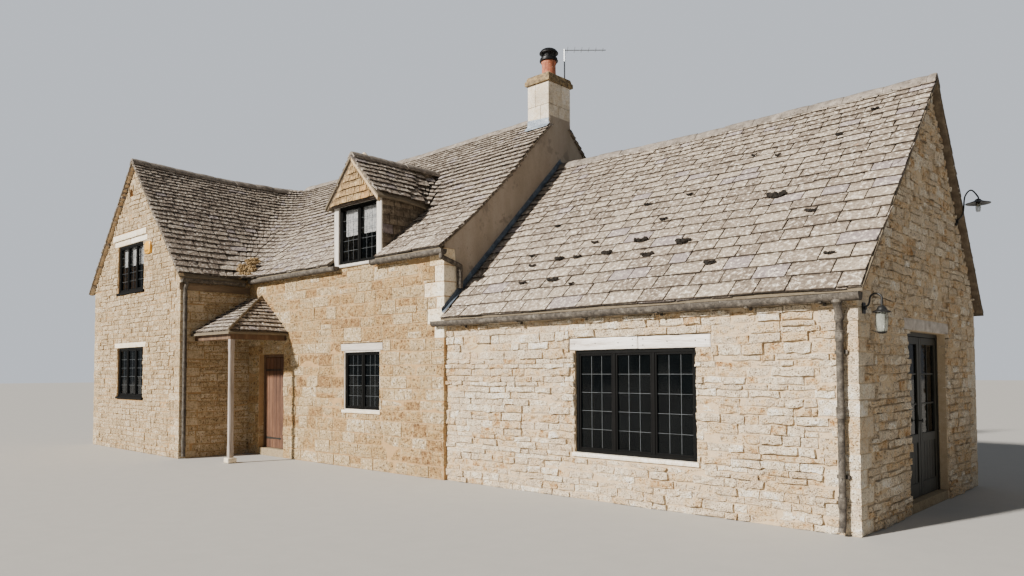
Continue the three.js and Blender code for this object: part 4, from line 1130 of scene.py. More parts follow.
render = mottled_finish("lime_render", {0.0: "776b5e", 0.4: "918474", 0.75: "a39788",
    1.0: "b4a999"}, 0.7, 0.006, 0.003, 0.93, (1, 1, 0.3), ("83776a", 0.5), 0.3)
refinish(render, "main_gable_wall")
rings = []
for step in range(104):
    y = 0.002 + 0.0571 * step
    low = WALL_TOP if y < 0.28 else max(2.5, side_top(0, y) - 0.06)
    high = 6.62 if STACK["front"] < y < STACK["rear"] else house_top(0, y) - house_sag(0, y) - 0.045
    front = []
    for i in range(25):
        z = low + (high - low) * i / 24
        front.append(at(0.012 + 0.005 * noise.noise(Vector((0, y * 1.6, z * 1.6))), y, z))
    rings.append(front + [at(-0.03, y, high), at(-0.03, y, low)])
made = bmesh.new()
loft(made, rings)
made_piece("gable_render", made, render)


# Moss
# Dark cushions of moss sit at the tails of the east roof's slates, and brown moss has filled
# the foot of the valley and the gutter's end below it.


def moss_tree():
    """Heaps a few lumps of moss on every point, as wide, deep and high as its size says."""
    tree, add, given = open_tree("moss_cushions", [
        ("Points", "Geometry", None), ("Lump roughness", "Float", 0.012),
        ("Lump grain", "Float", 0.03), ("Finish", "Material", None)], "Moss")
    lump = add("GeometryNodeMeshIcoSphere", {"Radius": 0.5, "Subdivisions": 3})
    laid = scattered(add, given["Points"], lump)[0]
    real = add("GeometryNodeRealizeInstances", {"Geometry": laid})
    place = add("GeometryNodeInputPosition")
    fine = add("ShaderNodeMath", {0: 1.0, 1: given["Lump grain"]}, operation="DIVIDE")
    field = add("ShaderNodeTexNoise", {"Vector": place, "Scale": fine, "Detail": 3.0})
    close_tree(add, real, uneven_by(add, given["Lump roughness"], field), given["Finish"], "Moss")
    return tree


cushions_tree = moss_tree()
dark_moss = mottled_finish("dark_cushion_moss", {0.0: "0f0c09", 0.5: "1d1812",
    0.85: "332b22", 1.0: "4d463a"}, 0.03, 0.006, 0.006, 1.0)
brown_moss = mottled_finish("brown_valley_moss", {0.0: "4d3c26", 0.4: "8a7350",
    0.75: "a38a63", 1.0: "b59a72"}, 0.05, 0.008, 0.008, 1.0)


def moss(name, heaps, finish, seed):
    """Heaps of moss, each given as a roof point, its width, height, and uphill direction."""
    rng = random.Random(seed)
    points, sizes, turns = [], [], []
    for place, width, height, across, rise in heaps:
        out = across.cross(rise)
        turn = tuple(Matrix((across, rise, out)).transposed().to_euler())
        # The lumps lie along an arc that hangs down in the middle, as moss does on a tail.
        for side in (-1, -0.5, 0, 0.5, 1):
            shift = (across * (side * 0.55 + rng.uniform(-0.1, 0.1)) * width
                + rise * (side * side * 0.22 - 0.1) * width)
            points.append(wall_corner + place + shift)
            sizes.append((width * rng.uniform(0.4, 0.6), width * rng.uniform(0.26, 0.36),
                height * rng.uniform(1.1, 1.7) * (1.2 - 0.4 * abs(side))))
            turns.append(turn)
    piece = grown(name, points, cushions_tree, {"Finish": finish}, size=sizes, turn=turns)
    return placed(piece)


# Where the photograph shows each cushion on the east roof: its x and height, and its width.
side_cushions = [(5.05, 4.05, 0.17), (3.23, 3.62, 0.14), (3.97, 3.50, 0.16), (2.73, 3.48, 0.11),
    (2.18, 3.47, 0.10), (1.83, 3.48, 0.12), (3.5, 3.35, 0.14), (4.6, 3.1, 0.11), (1.35, 3.4, 0.09),
    (1.4, 3.1, 0.10), (2.0, 3.1, 0.13), (1.15, 3.6, 0.08), (3.4, 3.95, 0.09), (3.6, 4.35, 0.07),
    (2.9, 4.3, 0.08), (5.65, 3.7, 0.09), (5.55, 4.95, 0.08), (4.35, 4.9, 0.07), (4.75, 4.8, 0.06),
    (1.25, 4.15, 0.08), (2.35, 3.7, 0.08), (2.45, 3.0, 0.07), (6.1, 3.05, 0.08), (5.9, 5.3, 0.07)]
across_side = Vector((1, 0, 0))
rise_side = Vector((0, math.cos(math.atan(SIDE["front_slope"])),
    math.sin(math.atan(SIDE["front_slope"]))))
heaps = []
for x, z, width in side_cushions:
    y = SIDE["ridge_at"] - (SIDE["ridge"] - z) / SIDE["front_slope"]
    heaps.append((Vector((x, y - 0.012, z + 0.022 - side_sag(x, y))), width, width * 0.36,
        across_side, rise_side))
moss("side_roof_moss", heaps, dark_moss, 41)
valley_heaps = []
valley_rng = random.Random(43)
way, rise = Vector((0.7, 0.7, 0)), Vector((-0.6, 0.6, 0.52)).normalized()
for i in range(22):
    z = 3.77 + i * 0.02
    y = MAIN["ridge_at"] - (MAIN["ridge"] - z) / MAIN["slope"]
    x = WING["ridge_at"] + (WING["ridge"] - z) / WING["slope"]
    x += 0.17 + valley_rng.uniform(-0.2, 0.2)
    y += -0.17 + valley_rng.uniform(-0.14, 0.14)
    valley_heaps.append((Vector((x, y, z + 0.04)), 0.12, 0.06, way, rise))
for x in (-5.95, -5.7, -5.1, -4.9):
    valley_heaps.append((Vector((x, -0.06, 3.85)), 0.08, 0.05, Vector((1, 0, 0)), rise_side))
moss("valley_moss", valley_heaps, brown_moss, 42)


# Lead flashings
# Milled lead, dressed over the slates and up the walls in lengths that lap: along the junction
# of the east roof and the rendered gable, and round the foot of the stack.

# Lit and shaded copies: this lead is darkened as painted shade of the gable's shadow, on top of its
# grey weathering. The stack's lead below is a paler copy, as painted sunlight.
lead = mottled_finish("milled_lead_weathered_and_shaded", {0.0: "333a44", 0.4: "454f5b", 0.75: "616c78",
    1.0: "87919a"}, 0.16, 0.03, 0.002, 0.6, Metallic=0.2)


def dressed_lead(made, points, profile, lap=0.05, length=0.9):
    """Lead along straight stretches between roof points. profile is its section: (aside, up)."""
    thick = 0.004
    for a, b in zip(points, points[1:]):
        a, b = Vector(a), Vector(b)
        way = (b - a).normalized()
        total = (b - a).length
        count = max(1, round(total / length))
        for i in range(count):
            low, high = i / count * total, (i + 1) / count * total + (lap if i < count - 1 else 0)
            rings = []
            for step in range(6):
                along = low + (high - low) * step / 5
                base = a + way * along
                lift = 0.005 + (0.004 if step == 0 else 0.0)
                crease = 0.003 * noise.noise(base * 6)
                over = [Vector((base.x + side, base.y, base.z + up + lift + crease))
                    for side, up in profile]
                under = [p - Vector((thick if side < 0.01 else 0, 0, 0 if side < 0.01 else thick))
                    for p, (side, up) in zip(over, profile)]
                rings.append([wall_corner + p for p in over + under[::-1]])
            loft(made, rings)


made = bmesh.new()
band = [(0.018, 0.11), (0.020, 0.055), (0.028, 0.040), (0.05, 0.034), (0.078, 0.03)]
ridge_point = (0.0, SIDE["ridge_at"], SIDE["ridge"])
dressed_lead(made, [(0.0, -0.07, 2.667), ridge_point], band)
dressed_lead(made, [ridge_point, (0.0, 5.16, 2.70)], band)
made_piece("gable_flashing", made, lead, smooth=60)

made = bmesh.new()
for x0, x1, y0, y1 in ((-0.53, 0.03, 2.56, 2.655), (-0.57, -0.515, 2.6, 3.35),
        (-0.53, 0.03, 3.293, 3.39)):
    rings = []
    for i in range(7):
        y = y0 + (y1 - y0) * i / 6
        z = house_top(0, y) - house_sag(x0, y) + 0.034
        rings.append([at(x0, y, z + 0.003), at(x1, y, z + 0.003), at(x1, y, z - 0.002),
            at(x0, y, z - 0.002)])
    loft(made, rings)
for i in range(4):
    y0, y1 = 2.652 + i * 0.08, 2.652 + i * 0.08 + 0.1
    z = house_top(0, y0) + 0.03
    corners = [(-0.527, y0, z - 0.02), (-0.527, y1, z - 0.02), (-0.527, y1, z + 0.17),
        (-0.527, y0, z + 0.13)]
    loft(made, [[at(*c) for c in corners], [at(c[0] + 0.008, c[1], c[2]) for c in corners]])
corners = [(-0.53, 2.643, 6.42), (0.004, 2.643, 6.42), (0.004, 2.643, 6.57), (-0.53, 2.643, 6.61)]
loft(made, [[at(*c) for c in corners], [at(c[0], c[1] + 0.008, c[2]) for c in corners]])

# A paler copy of the flashing lead, as painted sunlight.
bright_lead = mottled_finish("sunlit_milled_lead", {0.0: "5d6772", 0.4: "7d8893",
    0.75: "99a3ac", 1.0: "b5bcc2"}, 0.12, 0.03, 0.002, 0.6, Metallic=0.2)
made_piece("stack_flashing", made, bright_lead, smooth=60)


# Dormer
# An oak frame painted grey-white carries a slate-hung gable and cheeks. Thick tan mortar
# fills the right verge under the roof slates. The left one's has shrunk back and is given the
# dark mortar, as painted shade under its overhang, and a board makes the sill.

painted_oak = mottled_finish("flaking_white_paint", {0.0: "8b8378", 0.25: "b9b2a8",
    0.6: "d2ccc3", 1.0: "dedad3"}, 0.12, 0.012, 0.0012, 0.7, (1, 1, 0.12), ("7c6f5f", 0.3),
    0.02)
tan_slate = slate_finish("tan_hung_slate", ["6d5638", "876c48", "a18358", "b0946a", "c4aa80"],
    "d0bc98", "33271a", pale=0.66, dark=0.42, odd="ad7f45")
cheek_slate = slate_finish("shaded_hung_slate", ["5d5142", "6d604f", "7d705d", "8f816c"], "a0937e",
    "2c241a", pale=0.68)


def board(made, low, high, edge=0.003):
    """A board or bar with eased edges, from its lowest to its highest corner in plan metres."""
    corners = bmesh.ops.create_cube(made, size=1.0)["verts"]
    low, high = at(*low), at(*high)
    for vertex in corners:
        vertex.co = Vector([(a + b) / 2 + (b - a) * c for a, b, c in zip(low, high, vertex.co)])
    edges = {e for v in corners for e in v.link_edges}
    bmesh.ops.bevel(made, geom=list(edges), offset=edge, segments=2, affect="EDGES")


def boarded(name, boards, finish, body="cottage", stands_for=()):
    """A piece of boards or bars, each given as its two corners and its eased edge."""
    made = bmesh.new()
    for low, high, edge in boards:
        board(made, low, high, edge)
    return made_piece(name, made, finish, body, stands_for)


def hung_slate(facing, face, cell, thick, exposure):
    """A slate hung upright on a face, its tail standing out over the course below."""
    u0, u1, z0, z1 = cell
    lean = math.atan(thick / exposure)
    inward = 1 if facing in (FRONT, WEST) else -1
    off = face - inward * (thick / 2 - 0.004 + (z1 - z0) / 2 * math.sin(lean))
    u, z = (u0 + u1) / 2, (z0 + z1) / 2
    centre = at(u, off, z) if facing in (FRONT, REAR) else at(off, u, z)
    return (centre, (u1 - u0 - 0.004, (z1 - z0) / math.cos(lean), thick),
        (math.pi / 2 - lean, 0, math.radians(facing)))


dormer_pitch = pitched(DORMER["ridge_at"], DORMER["ridge"] - 0.1, DORMER["slope"],
    DORMER["slope"])
front_rng = random.Random(51)
gable_slates, cheek_slates = [], []
z, exposure = 4.885, 0.13
while z < 5.6:
    u = DORMER["left"] - 0.07 - front_rng.uniform(0, 0.1)
    while u < DORMER["right"] + 0.07:
        width, low = front_rng.uniform(0.14, 0.28), z + front_rng.uniform(-0.008, 0.008)
        cell = (max(u, DORMER["left"] - 0.06), min(u + width, DORMER["right"] + 0.06), low,
            z + exposure * 1.5)
        u += width
        if cell[1] - cell[0] > 0.03:
            gable_slates += [hung_slate(FRONT, -0.09, c, 0.024, exposure)
                for c in under_slope(cell, dormer_pitch)]
    z += exposure
lay("dormer_gable_slates", gable_slates, tan_slate, cuts=(4, 3, 2), worn=0.003,
    rough=0.004, grain=0.08, seed=51)
for facing, face in ((EAST, DORMER["right"]), (WEST, DORMER["left"])):
    z = 3.72
    while z < 4.86:
        u = 0.012
        while u < 1.1:
            width = front_rng.uniform(0.15, 0.3)
            middle = u + width / 2
            roof = MAIN["ridge"] - MAIN["slope"] * (MAIN["ridge_at"] - middle)
            roof -= house_sag(face, middle) + 0.07
            cell = (u, u + width, max(z, roof), min(z + 0.25, 4.915))
            if cell[3] - cell[2] > 0.03:
                cheek_slates.append(hung_slate(facing, face, cell, 0.016, 0.17))
            u += width
        z += 0.17
lay("dormer_cheek_slates", cheek_slates, cheek_slate, cuts=(4, 3, 2), worn=0.003,
    rough=0.004, grain=0.08, seed=52)
refinish(new_mortar, "dormer_gable")
refinish(torching, "dormer_cheek_left", "dormer_cheek_right")

verges = {}
for side, front, deep in ((-1, -0.118, 0.10), (1, -0.148, 0.125)):
    made = verges[side] = bmesh.new()
    rings = []
    for step in range(13):
        away = 0.81 * step / 12
        x = DORMER["ridge_at"] + side * away
        top_z = DORMER["ridge"] - 0.05 - DORMER["slope"] * away
        ring = []
        for y, z in ((front, top_z), (-0.085, top_z), (-0.085, top_z - deep),
                (front + 0.012, top_z - deep), (front, top_z - deep * 0.8)):
            point = Vector((x, y, z))
            ring.append(wall_corner + point + noise.noise_vector(point * 11) * 0.006)
        rings.append(ring)
    loft(made, rings)
# The left verge's dark mortar is painted shade, for the shadow under its overhang.
made_piece("dormer_verge_left", verges[-1], weathered_and_shaded_mortar, smooth=60)
made_piece("dormer_verge_right", verges[1], new_mortar, smooth=60)

left, right = DORMER["left"], DORMER["right"]
boarded("dormer_posts", [
    ((left, -0.001, 3.76), (left + 0.135, 0.12, 4.93), 0.006),
    ((right - 0.135, -0.001, 3.76), (right, 0.12, 4.93), 0.006),
    ((left + 0.135, 0.003, 4.88), (right - 0.135, 0.12, 4.93), 0.004),
    ((left - 0.01, -0.055, 3.712), (right + 0.01, 0.12, 3.765), 0.008),
    ((left + 0.128, 0.0, 3.765), (left + 0.142, 0.036, 4.88), 0.003),
    ((right - 0.142, 0.0, 3.765), (right - 0.128, 0.036, 4.88), 0.003)],
    painted_oak, stands_for=["dormer_frame"])
dark_oak = mottled_finish("dark_weathered_oak", {0.0: "231b13", 0.5: "3a2e22",
    1.0: "57483a"}, 0.1, 0.01, 0.002, 0.85, (0.1, 1, 1))
boarded("dormer_fascia", [((left - 0.02, -0.098, 4.868), (right + 0.02, -0.004, 4.9), 0.005)],
        dark_oak)


# Chimney
# A stack of sawn limestone with a two-tier weathered cap, a clay pot bedded in its flaunching,
# and a black cowl: a collar, a mesh neck on legs, and a domed lid against rain and birds.

stack_blocks = []
left, front, rear = STACK["left"], STACK["front"], STACK["rear"]
levels = [5.98, 6.42, 6.85, 7.285]
# Each course is one stone across the stack's left end and two beside it, and the joints break.
for (low, high), x, y in zip(zip(levels, levels[1:]), (-0.33, -0.2, -0.33), (3.05, 2.95, 3.05)):
    for x0, x1, y0, y1 in ((left, x, front, rear), (x, 0.0, front, y), (x, 0.0, y, rear)):
        grow = [0.004 if v in (left, 0.0, front, rear) else -0.002 for v in (x0, x1, y0, y1)]
        stack_blocks.append(((x0 - grow[0], y0 - grow[2], low + 0.001),
            (x1 + grow[1], y1 + grow[3], high - 0.001)))
stack_stone = stone_finish("stack_limestone", ["cdb899", "e2d2b8", "efe3d0", "faf3e6"], "b3a68f",
    0.02, 0.012, even=0.65, stained=0.53)
dressed("chimney_blocks", stack_blocks, stack_stone, stands_for=["chimney_stack"], cuts=(5, 6, 4),
    worn=0.003, rough=0.002, grain=0.1)
cap_stone = stone_finish("weathered_cap_stone", ["5f4f3b", "85704f", "a68f68", "bda885"], "6a6250",
    0.02, 0.008, even=0.7, stained=0.5)
made = bmesh.new()
tiers = [(7.287, 0.040), (7.30, 0.046), (7.36, 0.046), (7.374, 0.038), (7.378, 0.026),
    (7.42, 0.018), (7.455, 0.004), (7.466, -0.02)]
rings = []
for z, out in tiers:
    ring = []
    x0, x1, y0, y1 = left - out, out, front - out, rear + out
    corners = [(x0, y0), (x1, y0), (x1, y1), (x0, y1)]
    for (ax, ay), (bx, by) in zip(corners, corners[1:] + corners[:1]):
        for step in range(8):
            t = step / 8
            point = Vector((ax + (bx - ax) * t, ay + (by - ay) * t, z))
            rough = noise.noise_vector(point * 10) * (0.004 + 0.004 * noise.noise(point * 3))
            ring.append(wall_corner + point + rough)
    rings.append(ring)
loft(made, rings)
made_piece("chimney_cap_stones", made, cap_stone, stands_for=["chimney_cap"], smooth=50)


def round_at(x, y, radius, angle, z):
    """A point on a level circle, at an angle from its east side."""
    return at(x + radius * math.cos(angle), y + radius * math.sin(angle), z)


def turned(made, x, y, profile, sides=32):
    """A body turned about an upright axis, from its closed outline of (radius, height)."""
    rings = [[round_at(x, y, radius, 2 * math.pi * i / sides, z) for radius, z in profile]
             for i in range(sides)]
    rows = [[made.verts.new(point) for point in ring] for ring in rings]
    for a, b in zip(rows, rows[1:] + rows[:1]):
        for j in range(len(profile)):
            k = (j + 1) % len(profile)
            if profile[j][0] > 0 or profile[k][0] > 0:
                made.faces.new((a[j], b[j], b[k], a[k]))
    bmesh.ops.remove_doubles(made, verts=[v for row in rows for v in row], dist=1e-5)


flue_x, flue_y = -0.26, 2.974
terracotta = mottled_finish("weathered_terracotta", {0.0: "5d3325", 0.35: "96543a",
    0.7: "b87355", 1.0: "cf9a80"}, 0.07, 0.006, 0.0012, 0.85, (1, 1, 0.5), ("d9c3ad", 0.35),
    0.03)
made = bmesh.new()
turned(made, flue_x, flue_y, [(0.108, 7.466), (0.150, 7.466), (0.151, 7.50), (0.147, 7.515),
    (0.139, 7.525), (0.136, 7.6), (0.134, 7.735), (0.139, 7.745), (0.147, 7.757), (0.148, 7.785),
    (0.143, 7.80), (0.108, 7.80), (0.104, 7.7)])
made_piece("chimney_pot_clay", made, terracotta, stands_for=["chimney_pot"])
made = bmesh.new()
turned(made, flue_x, flue_y, [(0.0, 7.46), (0.21, 7.452), (0.235, 7.462), (0.19, 7.48),
    (0.155, 7.505), (0.12, 7.52), (0.0, 7.52)], 24)
made_piece("flaunching", made, cap_stone, smooth=60)

cowl_steel = mottled_finish("sooted_cowl_steel", {0.0: "101010", 0.6: "1e1e1f",
    1.0: "34332f"}, 0.06, 0.004, 0.0008, 0.42, (1, 1, 1), ("6a4b33", 0.15), 0.02, Metallic=0.6)
made = bmesh.new()
turned(made, flue_x, flue_y, [(0.106, 7.801), (0.178, 7.801), (0.182, 7.812), (0.182, 7.822),
    (0.174, 7.83), (0.168, 7.866), (0.162, 7.871), (0.106, 7.871)])
turned(made, flue_x, flue_y, [(0.0, 7.948), (0.176, 7.948), (0.185, 7.956), (0.187, 7.972),
    (0.176, 7.99), (0.150, 8.024), (0.118, 8.044), (0.08, 8.058), (0.03, 8.066), (0.0, 8.067)])
turned(made, flue_x, flue_y, [(0.0, 8.06), (0.018, 8.06), (0.02, 8.07), (0.012, 8.078),
    (0.0, 8.079)], 16)
made_piece("cowl_collar_and_lid", made, cowl_steel, stands_for=["chimney_cowl"])
wires = []
for count, radius, heights, size in ((30, 0.13, [7.91], (0.0035, 0.0035, 0.085)),
                                     (24, 0.13, [7.885, 7.90, 7.915, 7.93],
                                      (0.0035, 0.035, 0.0035)),
                                     (6, 0.145, [7.905], (0.004, 0.02, 0.13))):
    for z in heights:
        for angle in (2 * math.pi * i / count for i in range(count)):
            wires.append((round_at(flue_x, flue_y, radius, angle, z), size, (0, 0, angle)))
lay("cowl_mesh", wires, cowl_steel, cuts=(2, 2, 2), worn=0.0005, rough=0.0, seed=8)


# Aerial
# An aluminium boom with six elements on a galvanised mast, clamped to the back of the stack.


def tube(made, points, radius, sides=10):
    """A round bar or pipe along a path of plan points."""
    points = [at(*p) for p in points]
    rings = []
    aside = None
    for i, point in enumerate(points):
        before, after = points[max(i - 1, 0)], points[min(i + 1, len(points) - 1)]
        way = (after - before).normalized()
        if aside is None:
            aside = way.orthogonal().normalized()
        aside = (aside - way * aside.dot(way)).normalized()
        other = way.cross(aside)
        angles = [2 * math.pi * k / sides for k in range(sides)]
        rings.append([point + (aside * math.cos(t) + other * math.sin(t)) * radius
            for t in angles])
    loft(made, rings)


galvanised = mottled_finish("dulled_aluminium", {0.0: "85888a", 0.6: "a4a7a8",
    1.0: "babcbc"}, 0.05, 0.003, 0.0003, 0.42, Metallic=0.9)
made = bmesh.new()
mast_x, mast_y, boom_z, heading = -0.18, 3.36, 8.13, 0.75
tube(made, [(mast_x, mast_y, 6.95), (mast_x, mast_y, 8.155)], 0.0135)
ahead_x, ahead_y = math.cos(heading), math.sin(heading)
tube(made, [(mast_x - 0.03 * ahead_x, mast_y - 0.03 * ahead_y, boom_z),
    (mast_x + 0.82 * ahead_x, mast_y + 0.82 * ahead_y, boom_z)], 0.009, 8)
for arm in range(6):
    along, half = 0.06 + arm * 0.14, 0.15 - arm * 0.012
    x, y = mast_x + along * ahead_x, mast_y + along * ahead_y
    tube(made, [(x - half * ahead_y, y + half * ahead_x, boom_z + 0.006),
        (x + half * ahead_y, y - half * ahead_x, boom_z + 0.006)], 0.004, 6)
for z in (6.99, 7.195):
    board(made, (mast_x - 0.03, 3.3, z), (mast_x + 0.03, mast_y + 0.016, z + 0.03), 0.003)
made_piece("aerial_rods", made, galvanised, stands_for=["aerial"])


# Windows
# Black-painted casements with leaded lights: small panes of old glass held in lead cames, in
# opening frames hung between mullions. Each pane lies at its own slight angle.

window_paint = mottled_finish("satin_black_paint", {0.0: "040404", 0.6: "080807",
    1.0: "121110"}, 0.08, 0.01, 0.0006, 0.6, (1, 1, 0.2), **{"Specular IOR Level": 0.1})
came_lead = mottled_finish("dull_lead_came", {0.0: "404446", 0.5: "55595b", 1.0: "75797a"},
    0.03, 0.004, 0.0004, 0.6, Metallic=0.1)


def glass_finish(name, cover):
    """Drawn glass, slightly wavy, tinted near black as painted shade of the dark room behind it.
    cover is how much of the room behind it that painted shade hides.
    """
    material, add, place = open_finish(name)
    waves = add("ShaderNodeTexNoise", {"Vector": place, "Scale": 1 / 0.3, "Detail": 1.0})
    tint = add("ShaderNodeValToRGB", {"Fac": waves}, {0.3: "050708", 0.7: "0b0e0f"})
    bump = add("ShaderNodeBump", {"Height": waves, "Distance": 0.002, "Strength": 0.3})
    return close_finish(material, {"Base Color": tint, "Normal": bump, "Roughness": 0.06,
        "IOR": 1.52, "Specular IOR Level": 0.15, "Alpha": cover})


# The near-black tint is painted shade of the rooms behind the panes, thick in most windows and
# faint where lace hangs.
glass_darkened_as_room_shade = glass_finish("drawn_glass_with_room_shade", 0.7)
clear_glass = glass_finish("drawn_glass_with_faint_room_shade", 0.22)


def leaded_window(name, node, light, lights, face, out, grid, seed, glass=glass_darkened_as_room_shade):
    """A window of some lights in an opening, at a wall face. out is -1 where it faces the front
    and 1 where it faces the rear, and grid how many panes each light is wide and high."""
    u0, u1, z0, z1 = light
    rng = random.Random(seed)
    jamb, mullion, bar = 0.05, 0.045, 0.026
    clear = (u1 - u0 - 2 * jamb - (lights - 1) * mullion) / lights
    parts = [(u0, u0 + jamb, z0, z1), (u1 - jamb, u1, z0, z1),
        (u0 + jamb, u1 - jamb, z1 - jamb, z1), (u0 + jamb, u1 - jamb, z0, z0 + jamb)]
    sashes, panes, cames, handles = [], [], [], []
    for i in range(lights):
        a = u0 + jamb + i * (clear + mullion)
        b = a + clear
        low, high = z0 + jamb, z1 - jamb
        if i < lights - 1:
            parts.append((b, b + mullion, low, high))
        sashes += [(a + 0.002, a + bar, low + 0.002, high - 0.002),
            (b - bar, b - 0.002, low + 0.002, high - 0.002),
            (a + bar, b - bar, high - bar, high - 0.002),
            (a + bar, b - bar, low + 0.002, low + bar)]
        a, b, low, high = a + bar, b - bar, low + bar, high - bar
        wide, tall = (b - a) / grid[0], (high - low) / grid[1]
        middle = face - out * 0.03
        for column in range(grid[0]):
            for row in range(grid[1]):
                centre = at(a + (column + 0.5) * wide, middle, low + (row + 0.5) * tall)
                turn = (rng.gauss(0, 0.006), 0, rng.gauss(0, 0.006))
                panes.append((centre, (wide - 0.001, 0.003, tall - 0.001), turn))
        for column in range(1, grid[0]):
            cames.append((at(a + column * wide, middle, (low + high) / 2),
                (0.008, 0.011, high - low), (0, 0, 0)))
        for row in range(1, grid[1]):
            cames.append((at((a + b) / 2, middle, low + row * tall), (b - a, 0.010, 0.008),
                (0, 0, 0)))
        side = a - 0.013 if i else b + 0.013
        handles.append((side, low + (high - low) * 0.45))
    bars = [(part, 0.0, 0.06, 0.004) for part in parts]
    bars += [(part, 0.008, 0.048, 0.003) for part in sashes]
    for u, z in handles:
        bars.append(((u - 0.01, u + 0.01, z - 0.05, z + 0.05), 0.048, 0.058, 0.002))
        bars.append(((u - 0.006, u + 0.006, z - 0.07, z + 0.01), 0.058, 0.072, 0.003))
    boards = []
    for (a, b, c, d), near, far, edge in bars:
        y0, y1 = sorted((face - out * near, face - out * far))
        boards.append(((a, y0, c), (b, y1, d), edge))
    boarded(name + "_frame", boards, window_paint, stands_for=[node])
    lay(name + "_glass", panes, glass, cuts=(3, 2, 3), worn=0.0, rough=0.0, seed=seed)
    lay(name + "_cames", cames, came_lead, cuts=(2, 2, 2), worn=0.002, rough=0.0,
        seed=seed)


leaded_window("wing_upper", "wing_upper_window", upper_light, 3, -1.494, -1, (2, 5), 61,
    clear_glass)
leaded_window("wing_lower", "wing_lower_window", lower_light, 3, -1.494, -1, (2, 5), 62)
leaded_window("main_lower", "main_window", main_light, 2, 0.03, -1, (3, 5), 63)
dormer_casement = (DORMER["left"] + 0.135, DORMER["right"] - 0.135, 3.765, 4.88)
leaded_window("dormer", "dormer_window", dormer_casement, 2, 0.04, -1, (3, 5), 64, clear_glass)
leaded_window("east", "east_window", east_light, 3, 0.095, -1, (3, 5), 65)
leaded_window("wing_rear_upper", "wing_rear_upper_window", upper_light, 3, 5.916, 1, (2, 5), 66)
leaded_window("wing_rear_lower", "wing_rear_lower_window", lower_light, 3, 5.916, 1, (2, 5), 67)
leaded_window("main_rear", "main_rear_window", main_light, 2, 5.916, 1, (3, 5), 68)
boarded("wing_window_sills", [
    ((u0 + 0.01, -1.562, z0 + 0.012), (u1 - 0.01, -1.43, z1 + 0.004), 0.008)
    for u0, u1, z0, z1 in (sill_under(upper_light), sill_under(lower_light))],
    window_paint)
u0, u1, z0, z1 = main_light
bead = 0.022
boarded("main_window_bead", [((a, 0.008, c), (b, 0.031, d), 0.003) for a, b, c, d in (
    (u0, u0 + bead, z0, z1), (u1 - bead, u1, z0, z1), (u0 + bead, u1 - bead, z1 - bead, z1),
    (u0 - 0.03, u1 + 0.03, z0 - 0.02, z0 + 0.02))], painted_oak)


# Lace blinds
# White cotton lace, gathered on a thin brass rod behind each light of the dormer's window and
# of the wing's upper one. It hides the upper part of the room.


def lace_finish():
    """Cotton lace in the sheet's own coordinates, u across it and v down it in metres. Its net
    is a few millimetres wide, drawn at twice that so that it doesn't shimmer."""
    material, add, _ = open_finish("white_cotton_lace")
    cloth = add("ShaderNodeAttribute", attribute_name="cloth").outputs["Vector"]
    net = add("ShaderNodeTexVoronoi", {"Vector": cloth, "Scale": 1 / 0.012},
        feature="DISTANCE_TO_EDGE").outputs["Distance"]
    holes = add("ShaderNodeMapRange", {"Value": net, "From Min": 0.06, "From Max": 0.2,
        "To Min": 1.0, "To Max": 0.55})
    flowers = add("ShaderNodeTexNoise", {"Vector": cloth, "Scale": 1 / 0.06,
        "Detail": 3.0})
    solid = add("ShaderNodeMapRange", {"Value": flowers, "From Min": 0.46,
        "From Max": 0.54, "To Max": 0.5})
    cover = add("ShaderNodeMath", {0: holes, 1: solid}, operation="ADD", use_clamp=True)
    tint = add("ShaderNodeValToRGB", {"Fac": flowers},
        {0.3: "d9dcdf", 0.6: "f4f4f2"})
    bump = add("ShaderNodeBump", {"Height": cover, "Distance": 0.0008, "Strength": 0.6})
    return close_finish(material, {"Base Color": tint, "Normal": bump, "Roughness": 0.9,
        "Sheen Weight": 0.2, "Alpha": cover})


lace = lace_finish()
brass = mottled_finish("aged_brass_rod", {0.0: "6b5426", 0.6: "94783a", 1.0: "b89a55"}, 0.03,
    0.004, 0.0003, 0.4, Metallic=1.0)


def lace_blind(name, left, right, top, drop, y, seed):
    """A gathered sheet of lace between two sides of a light, hung from a rod at its top."""
    made = bmesh.new()
    cloth = made.verts.layers.float_vector.new("cloth")
    rng = random.Random(seed)
    folds, across, down = 9, 72, 12
    phase = rng.uniform(0, 6)
    rows, width = [], 0.0
    for j in range(down + 1):
        z = top - drop * j / down
        row, run, last = [], 0.0, None
        for i in range(across + 1):
            t = i / across
            swell = math.sin(2 * math.pi * folds * t + phase + 0.8 * math.sin(5 * t + seed))
            place = at(left + (right - left) * t, y + 0.007 * swell, z)
            run += (place - last).length if last else 0.0
            last = place
            vertex = made.verts.new(place)
            vertex[cloth] = (run, drop * j / down, 0)
            row.append(vertex)
        rows.append(row)
        width = run
    for a, b in zip(rows, rows[1:]):
        for i in range(across):
            made.faces.new((a[i], a[i + 1], b[i + 1], b[i]))
    sheet = made_piece(name, made, lace, smooth=80)
    rod = bmesh.new()
    rings = [[at(x, y + 0.004 * math.cos(math.pi * i / 6), top + 0.004 * math.sin(math.pi * i / 6))
        for i in range(12)] for x in (left - 0.01, (left + right) / 2, right + 0.01)]
    loft(rod, rings)
    made_piece(name + "_rod", rod, brass)


